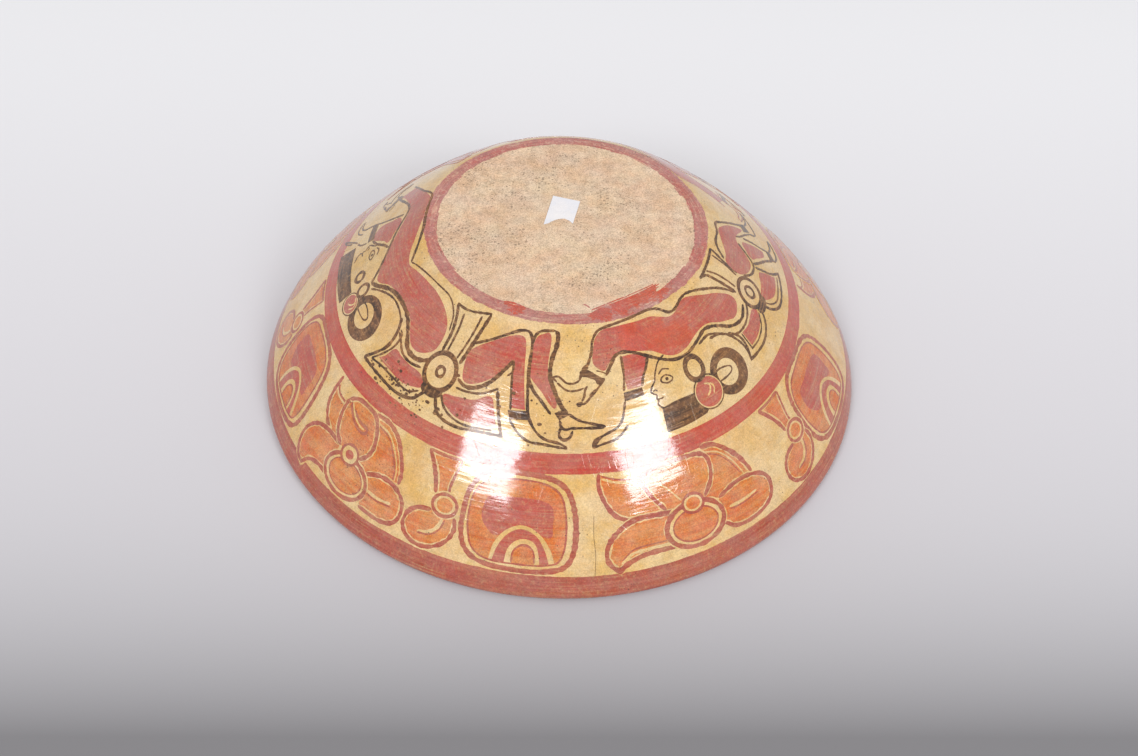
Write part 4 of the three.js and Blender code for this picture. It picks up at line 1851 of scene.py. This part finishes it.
@dataclass(frozen=True)
class RedBands:
    """The red bands that frame the painting: round the base, at the waist and over the lip.

    The strays are how far the hand left a band's edge, in millimetres. A wave has how finely it runs and its
    share of the stray. The bristle marks are in the sheet's squares, and their widths in millimetres.
    """

    surface: Surface
    slips: dict[Paint, bpy.types.Material]
    foot_spread: float = 0.8
    foot_strays: tuple[float, float] = (0.45, 0.35)
    edge: float = 0.18
    stray_scale: float = 1.6
    waves: tuple[tuple[float, float], ...] = ((2.2, 1.0), (18.0, 0.5), (55.0, 0.5))
    smears: tuple[Mark, ...] = (
        fill(WORN_AND_SHEEN_RED, "2400,-40! 2525,-74 2730,-90 2945,-92 3090,-88 3132,-84! 3096,-74 3124,-66! "
                       "3062,-54 3086,-34! 2900,-30 2600,-30"),
        line(WORN_AND_SHEEN_RED, 0.5, "2440,-66 2560,-84 2700,-97 2800,-98"),
        line(WORN_AND_SHEEN_RED, 0.4, "2760,-96 2860,-101 3000,-98 3110,-92"),
        line(WORN_AND_SHEEN_RED, 0.4, "2900,-90 3020,-80 3150,-76"),
        line(WORN_AND_SHEEN_RED, 0.6, "2376,-104 2404,-98 2432,-80"),
        line(WORN_AND_SHEEN_RED, 0.8, "1680,-48 1760,-58 1840,-54 1900,-44"),
    )
    bristles: int = 90
    bristle_starts: tuple[float, float] = (-3200, 4000)
    bristle_lengths: tuple[float, float] = (50, 260)
    bristle_middle: float = -44
    bristle_spread: float = 3.5
    bristle_bends: tuple[float, float] = (4, 6)
    bristle_widths: tuple[float, float] = (0.25, 0.6)

    LOWER_SEED = 5

    def _wander(self, distance: float, amount: float, seed: float, degrees: np.ndarray) -> np.ndarray:
        """Draws a band's wavering edge at a distance down the wall.

        Args:
            distance: where the edge lies, in millimetres.
            amount: how far it strays, in millimetres.
            seed: picks the edge's own course.
            degrees: the angles to find it at.

        Returns:
            The edge's distances, in metres.
        """
        turns = [(math.cos(math.radians(angle)), math.sin(math.radians(angle))) for angle in degrees]
        course = np.zeros(len(degrees))
        for fine, share in self.waves:
            course += share * np.array([noise.noise(Vector((fine * x, fine * y, seed))) for x, y in turns])
        return (distance + amount * course) * MM

    def _bristle_marks(self) -> tuple[Mark, ...]:
        """Draws the short, thin strokes that single bristles left along the foot band's inner edge.

        Returns:
            The marks.
        """
        chance = random.Random(self.bristles)
        marks = []
        for _ in range(self.bristles):
            start, length = chance.uniform(*self.bristle_starts), chance.uniform(*self.bristle_lengths)
            down = self.bristle_middle + chance.gauss(0, self.bristle_spread)
            first, last = [down + chance.uniform(-bend, bend) for bend in self.bristle_bends]
            spots = ((start, first), (start + length / 2, down), (start + length, last))
            path = " ".join(f"{x:.0f},{y:.1f}" for x, y in spots)
            marks.append(line(WORN_AND_SHEEN_RED, chance.uniform(*self.bristle_widths), path))
        return tuple(marks)

    def build(self) -> None:
        """Paints the three bands."""
        form = self.surface.form
        waist_end = form.waist_start + form.waist_width
        degrees = np.linspace(0.0, 360.0, 2 * Surface.COLUMNS + 1)
        start_stray, end_stray = self.foot_strays
        edges = (
            ("foot_band", WORN_AND_SHEEN_RED, -form.foot_width / MM, start_stray, self.foot_spread, end_stray),
            ("waist_band", BAND_RED, form.waist_start / MM, self.edge, waist_end / MM, self.edge),
            ("rim_band", RED_BROWN, form.rim_start / MM, self.edge, self.surface.lip_end / MM, 0.0),
        )
        for name, paint, top, top_stray, bottom, bottom_stray in edges:
            coat = Coat(name, self.surface, paint)
            upper = self._wander(top, self.stray_scale * top_stray, top, degrees)
            lower_stray = self.stray_scale * bottom_stray
            lower = self._wander(bottom, lower_stray, bottom + self.LOWER_SEED, degrees)
            coat.band(upper, lower, degrees, 0)
            coat.finish(self.slips[paint])
        box = PaintBox("foot_brush", self.surface, self.slips)
        box.draw(self.smears + self._bristle_marks(), Placing())
        box.close()


# The label and the studio


@dataclass(frozen=True)
class PaperLabel:
    """A small blank paper label on the base, with its lower edge torn. Its sizes are in millimetres.

    The cuts that let the sheet bend have their start, their end and how far apart they are.
    """

    surface: Surface
    material: bpy.types.Material
    corners: tuple[tuple[float, float], ...] = ((-4.21, 12.39), (4.07, 10.23), (2.02, -0.30), (-6.68, -1.07))
    tear: tuple[tuple[float, float], ...] = (
        (0.9, 1.05),
        (-0.6, 1.9),
        (-1.9, 1.75),
        (-3.2, 1.2),
        (-4.6, 0.2),
        (-5.3, -0.5),
    )
    thickness: float = 0.16
    lift: float = 0.03
    cuts: tuple[float, float, float] = (-7.0, 14.0, 1.0)
    wrinkle: float = 0.05
    wrinkle_fineness: float = 0.35

    EDGE_CUTS = 3
    WRINKLE_SEED = 2.0

    def build(self) -> bpy.types.Object:
        """Cuts the label out and lays it on the base.

        Returns:
            The label.
        """
        outline = [*self.corners[:3], *self.tear, self.corners[3]]
        work = bmesh.new()
        level = self.surface.form.height / MM
        work.faces.new([work.verts.new((x, y, level)) for x, y in outline])
        bmesh.ops.subdivide_edges(work, edges=work.edges, cuts=self.EDGE_CUTS)
        for axis in ((1, 0, 0), (0, 1, 0)):
            for place in np.arange(*self.cuts):
                geometry = [*work.verts, *work.edges, *work.faces]
                centre = tuple(place * part for part in axis)
                bmesh.ops.bisect_plane(work, geom=geometry, dist=ON_CUT, plane_co=centre, plane_no=axis)
        sheet = bmesh.ops.extrude_face_region(work, geom=list(work.faces), use_keep_orig=True)["geom"]
        for vertex in (item for item in sheet if isinstance(item, bmesh.types.BMVert)):
            vertex.co.z += self.thickness
        for vertex in work.verts:
            flat = np.array([[vertex.co.x * MM, vertex.co.y * MM, self.surface.form.height]])
            place = self.surface.hand.shape(flat)[0]
            fine = self.wrinkle_fineness
            seed_place = Vector((vertex.co.x * fine, vertex.co.y * fine, self.WRINKLE_SEED))
            wrinkle = self.wrinkle * noise.noise(seed_place)
            vertex.co = (place[0], place[1], place[2] + (vertex.co.z - level + self.lift + abs(wrinkle)) * MM)
        bmesh.ops.recalc_face_normals(work, faces=work.faces)
        piece = place_piece("paper_label", work, self.material)
        log.info("label %s", piece.name)
        return piece


@dataclass(frozen=True)
class Studio:
    """A plain pale floor, two soft boxes at the sides of the camera, and the camera itself.

    A soft box has its name, the place on the wall at the middle of its reflection, and the direction in which
    that place mirrors the camera's line of sight. The floor's painted shade lies across it in front of the
    bowl.
    """

    camera_place: tuple[float, float, float] = (0.0, -0.286136, 0.297534)
    pitch: float = 0.82266
    yaw: float = 0.00758
    roll: float = -0.03107
    lens: float = 39.54
    sensor: float = 36.0
    softbox_reach: float = 1.2
    softbox_size: tuple[float, float] = (0.45, 0.28)
    softbox_power: float = 5.2
    softbox_colour: tuple[float, float, float] = (0.95, 0.965, 1.0)
    softboxes: tuple[tuple, ...] = (
        ("softbox_left", (-0.0186, -0.0674, 0.0321), (-0.382, -0.671, 0.636)),
        ("softbox_right", (0.0242, -0.0646, 0.0329), (0.525, -0.592, 0.612)),
    )
    ambient: float = 0.82
    room_colour: tuple[float, float, float] = (1.0, 0.99, 0.995)
    floor_size: float = 2.0
    floor_squares: int = 8
    floor_colour: tuple[float, float, float] = (0.765, 0.765, 0.778)
    floor_roughness: float = 0.9
    shade_colour: tuple[float, float, float] = (0.625, 0.611, 0.632)
    shade_slant: float = 0.03
    shade_offset: float = 0.152
    shade_fall: float = -22.0
    shade_least: float = 0.30
    shade_back: tuple[float, float] = (-0.05, 0.22)
    shade_front: tuple[float, float] = (-0.45, -0.17)

    def build(self) -> None:
        """Sets the whole studio up."""
        self._floor()
        for softbox in self.softboxes:
            self._softbox(*softbox)
        self._surroundings()
        self._camera()

    def _camera(self) -> None:
        """Puts the camera where the photograph was taken from."""
        ahead = Vector((0, math.cos(self.pitch), -math.sin(self.pitch)))
        right = Vector((1, 0, 0))
        down = Vector((0, -math.sin(self.pitch), -math.cos(self.pitch)))
        looking = ahead * math.cos(self.yaw) + right * math.sin(self.yaw)
        right = right * math.cos(self.yaw) - ahead * math.sin(self.yaw)
        level = right * math.cos(self.roll) + down * math.sin(self.roll)
        down = down * math.cos(self.roll) - right * math.sin(self.roll)
        data = bpy.data.cameras.new("camera")
        data.lens = self.lens
        data.sensor_width = self.sensor
        camera = bpy.data.objects.new("camera", data)
        turn = Matrix((level, -down, -looking)).transposed().to_4x4()
        camera.matrix_world = Matrix.Translation(self.camera_place) @ turn
        bpy.context.scene.collection.objects.link(camera)
        bpy.context.scene.camera = camera

    def _softbox(self, name: str, seen_at: tuple[float, float, float],
                 towards: tuple[float, float, float]) -> None:
        """Hangs a softbox where the burnished wall mirrors it.

        Args:
            name: the light's name.
            seen_at: the place on the wall at the middle of its reflection.
            towards: the direction in which that place mirrors the camera's line of sight.
        """
        data = bpy.data.lights.new(name, "AREA")
        data.shape = "RECTANGLE"
        data.size, data.size_y = self.softbox_size
        data.energy = self.softbox_power
        data.color = self.softbox_colour
        light = bpy.data.objects.new(name, data)
        direction = Vector(towards).normalized()
        light.location = Vector(seen_at) + direction * self.softbox_reach
        light.rotation_euler = direction.to_track_quat("Z", "Y").to_euler()
        bpy.context.scene.collection.objects.link(light)

    def _surroundings(self) -> None:
        """Fills the room with pale, even light."""
        world = bpy.data.worlds.new("pale_room")
        world.use_nodes = True
        background = world.node_tree.nodes["Background"]
        background.inputs["Color"].default_value = (*self.room_colour, 1.0)
        background.inputs["Strength"].default_value = self.ambient
        bpy.context.scene.world = world
        bpy.context.scene.view_settings.view_transform = "Standard"

    def _floor(self) -> None:
        """Lays the floor, a pale sheet with a soft shade across it in front of the bowl."""
        work = bmesh.new()
        squares = self.floor_squares
        bmesh.ops.create_grid(work, x_segments=squares, y_segments=squares, size=self.floor_size)
        mesh = bpy.data.meshes.new("floor")
        work.to_mesh(mesh)
        work.free()
        material = bpy.data.materials.new("pale_floor")
        material.use_nodes = True
        sheet = NodeSheet(material.node_tree)
        across = sheet.add("ShaderNodeSeparateXYZ", {0: sheet.object_place()}).outputs
        # Painted shade: the floor's colour darkens towards the camera, slanting a little across, and is pale
        # again behind the bowl and far in front.
        away = sheet.math("SUBTRACT", across["Y"], sheet.math("MULTIPLY", across["X"], self.shade_slant))
        fall = sheet.math("MULTIPLY", sheet.math("ADD", away, self.shade_offset), self.shade_fall)
        fade = sheet.math("EXPONENT", fall, 0.0)
        share = sheet.math("MAXIMUM", sheet.math("SUBTRACT", 1.0, fade), self.shade_least)
        colour = sheet.mix(share, (0.0, 0.0, 0.0), self.shade_colour)
        colour = sheet.mix(sheet.ramp(away, *self.shade_back), colour, self.floor_colour)
        colour = sheet.mix(sheet.ramp(away, *self.shade_front, 1.0, 0.0), colour, self.floor_colour)
        shader = material.node_tree.nodes["Principled BSDF"]
        material.node_tree.links.new(colour, shader.inputs["Base Color"])
        shader.inputs["Roughness"].default_value = self.floor_roughness
        mesh.materials.append(material)
        floor = bpy.data.objects.new("floor", mesh)
        bpy.context.scene.collection.objects.link(floor)


def main() -> None:
    """Builds the bowl piece by piece."""
    logging.basicConfig(level=logging.INFO, format="%(name)s: %(message)s")
    form = BowlForm()
    surface = Surface(form, PottersHand(form.height))
    workshop = Workshop()
    slips = {paint: workshop.slip(finish) for paint, finish in FINISHES.items()}
    Studio().build()
    ClayBody(surface, workshop, slips).build()
    RedBands(surface, slips).build()
    FigureFrieze(surface, slips).build()
    OrnamentBand(surface, slips).build()
    PaperLabel(surface, workshop.matte(PAPER)).build()


if __name__ == "__main__":
    main()
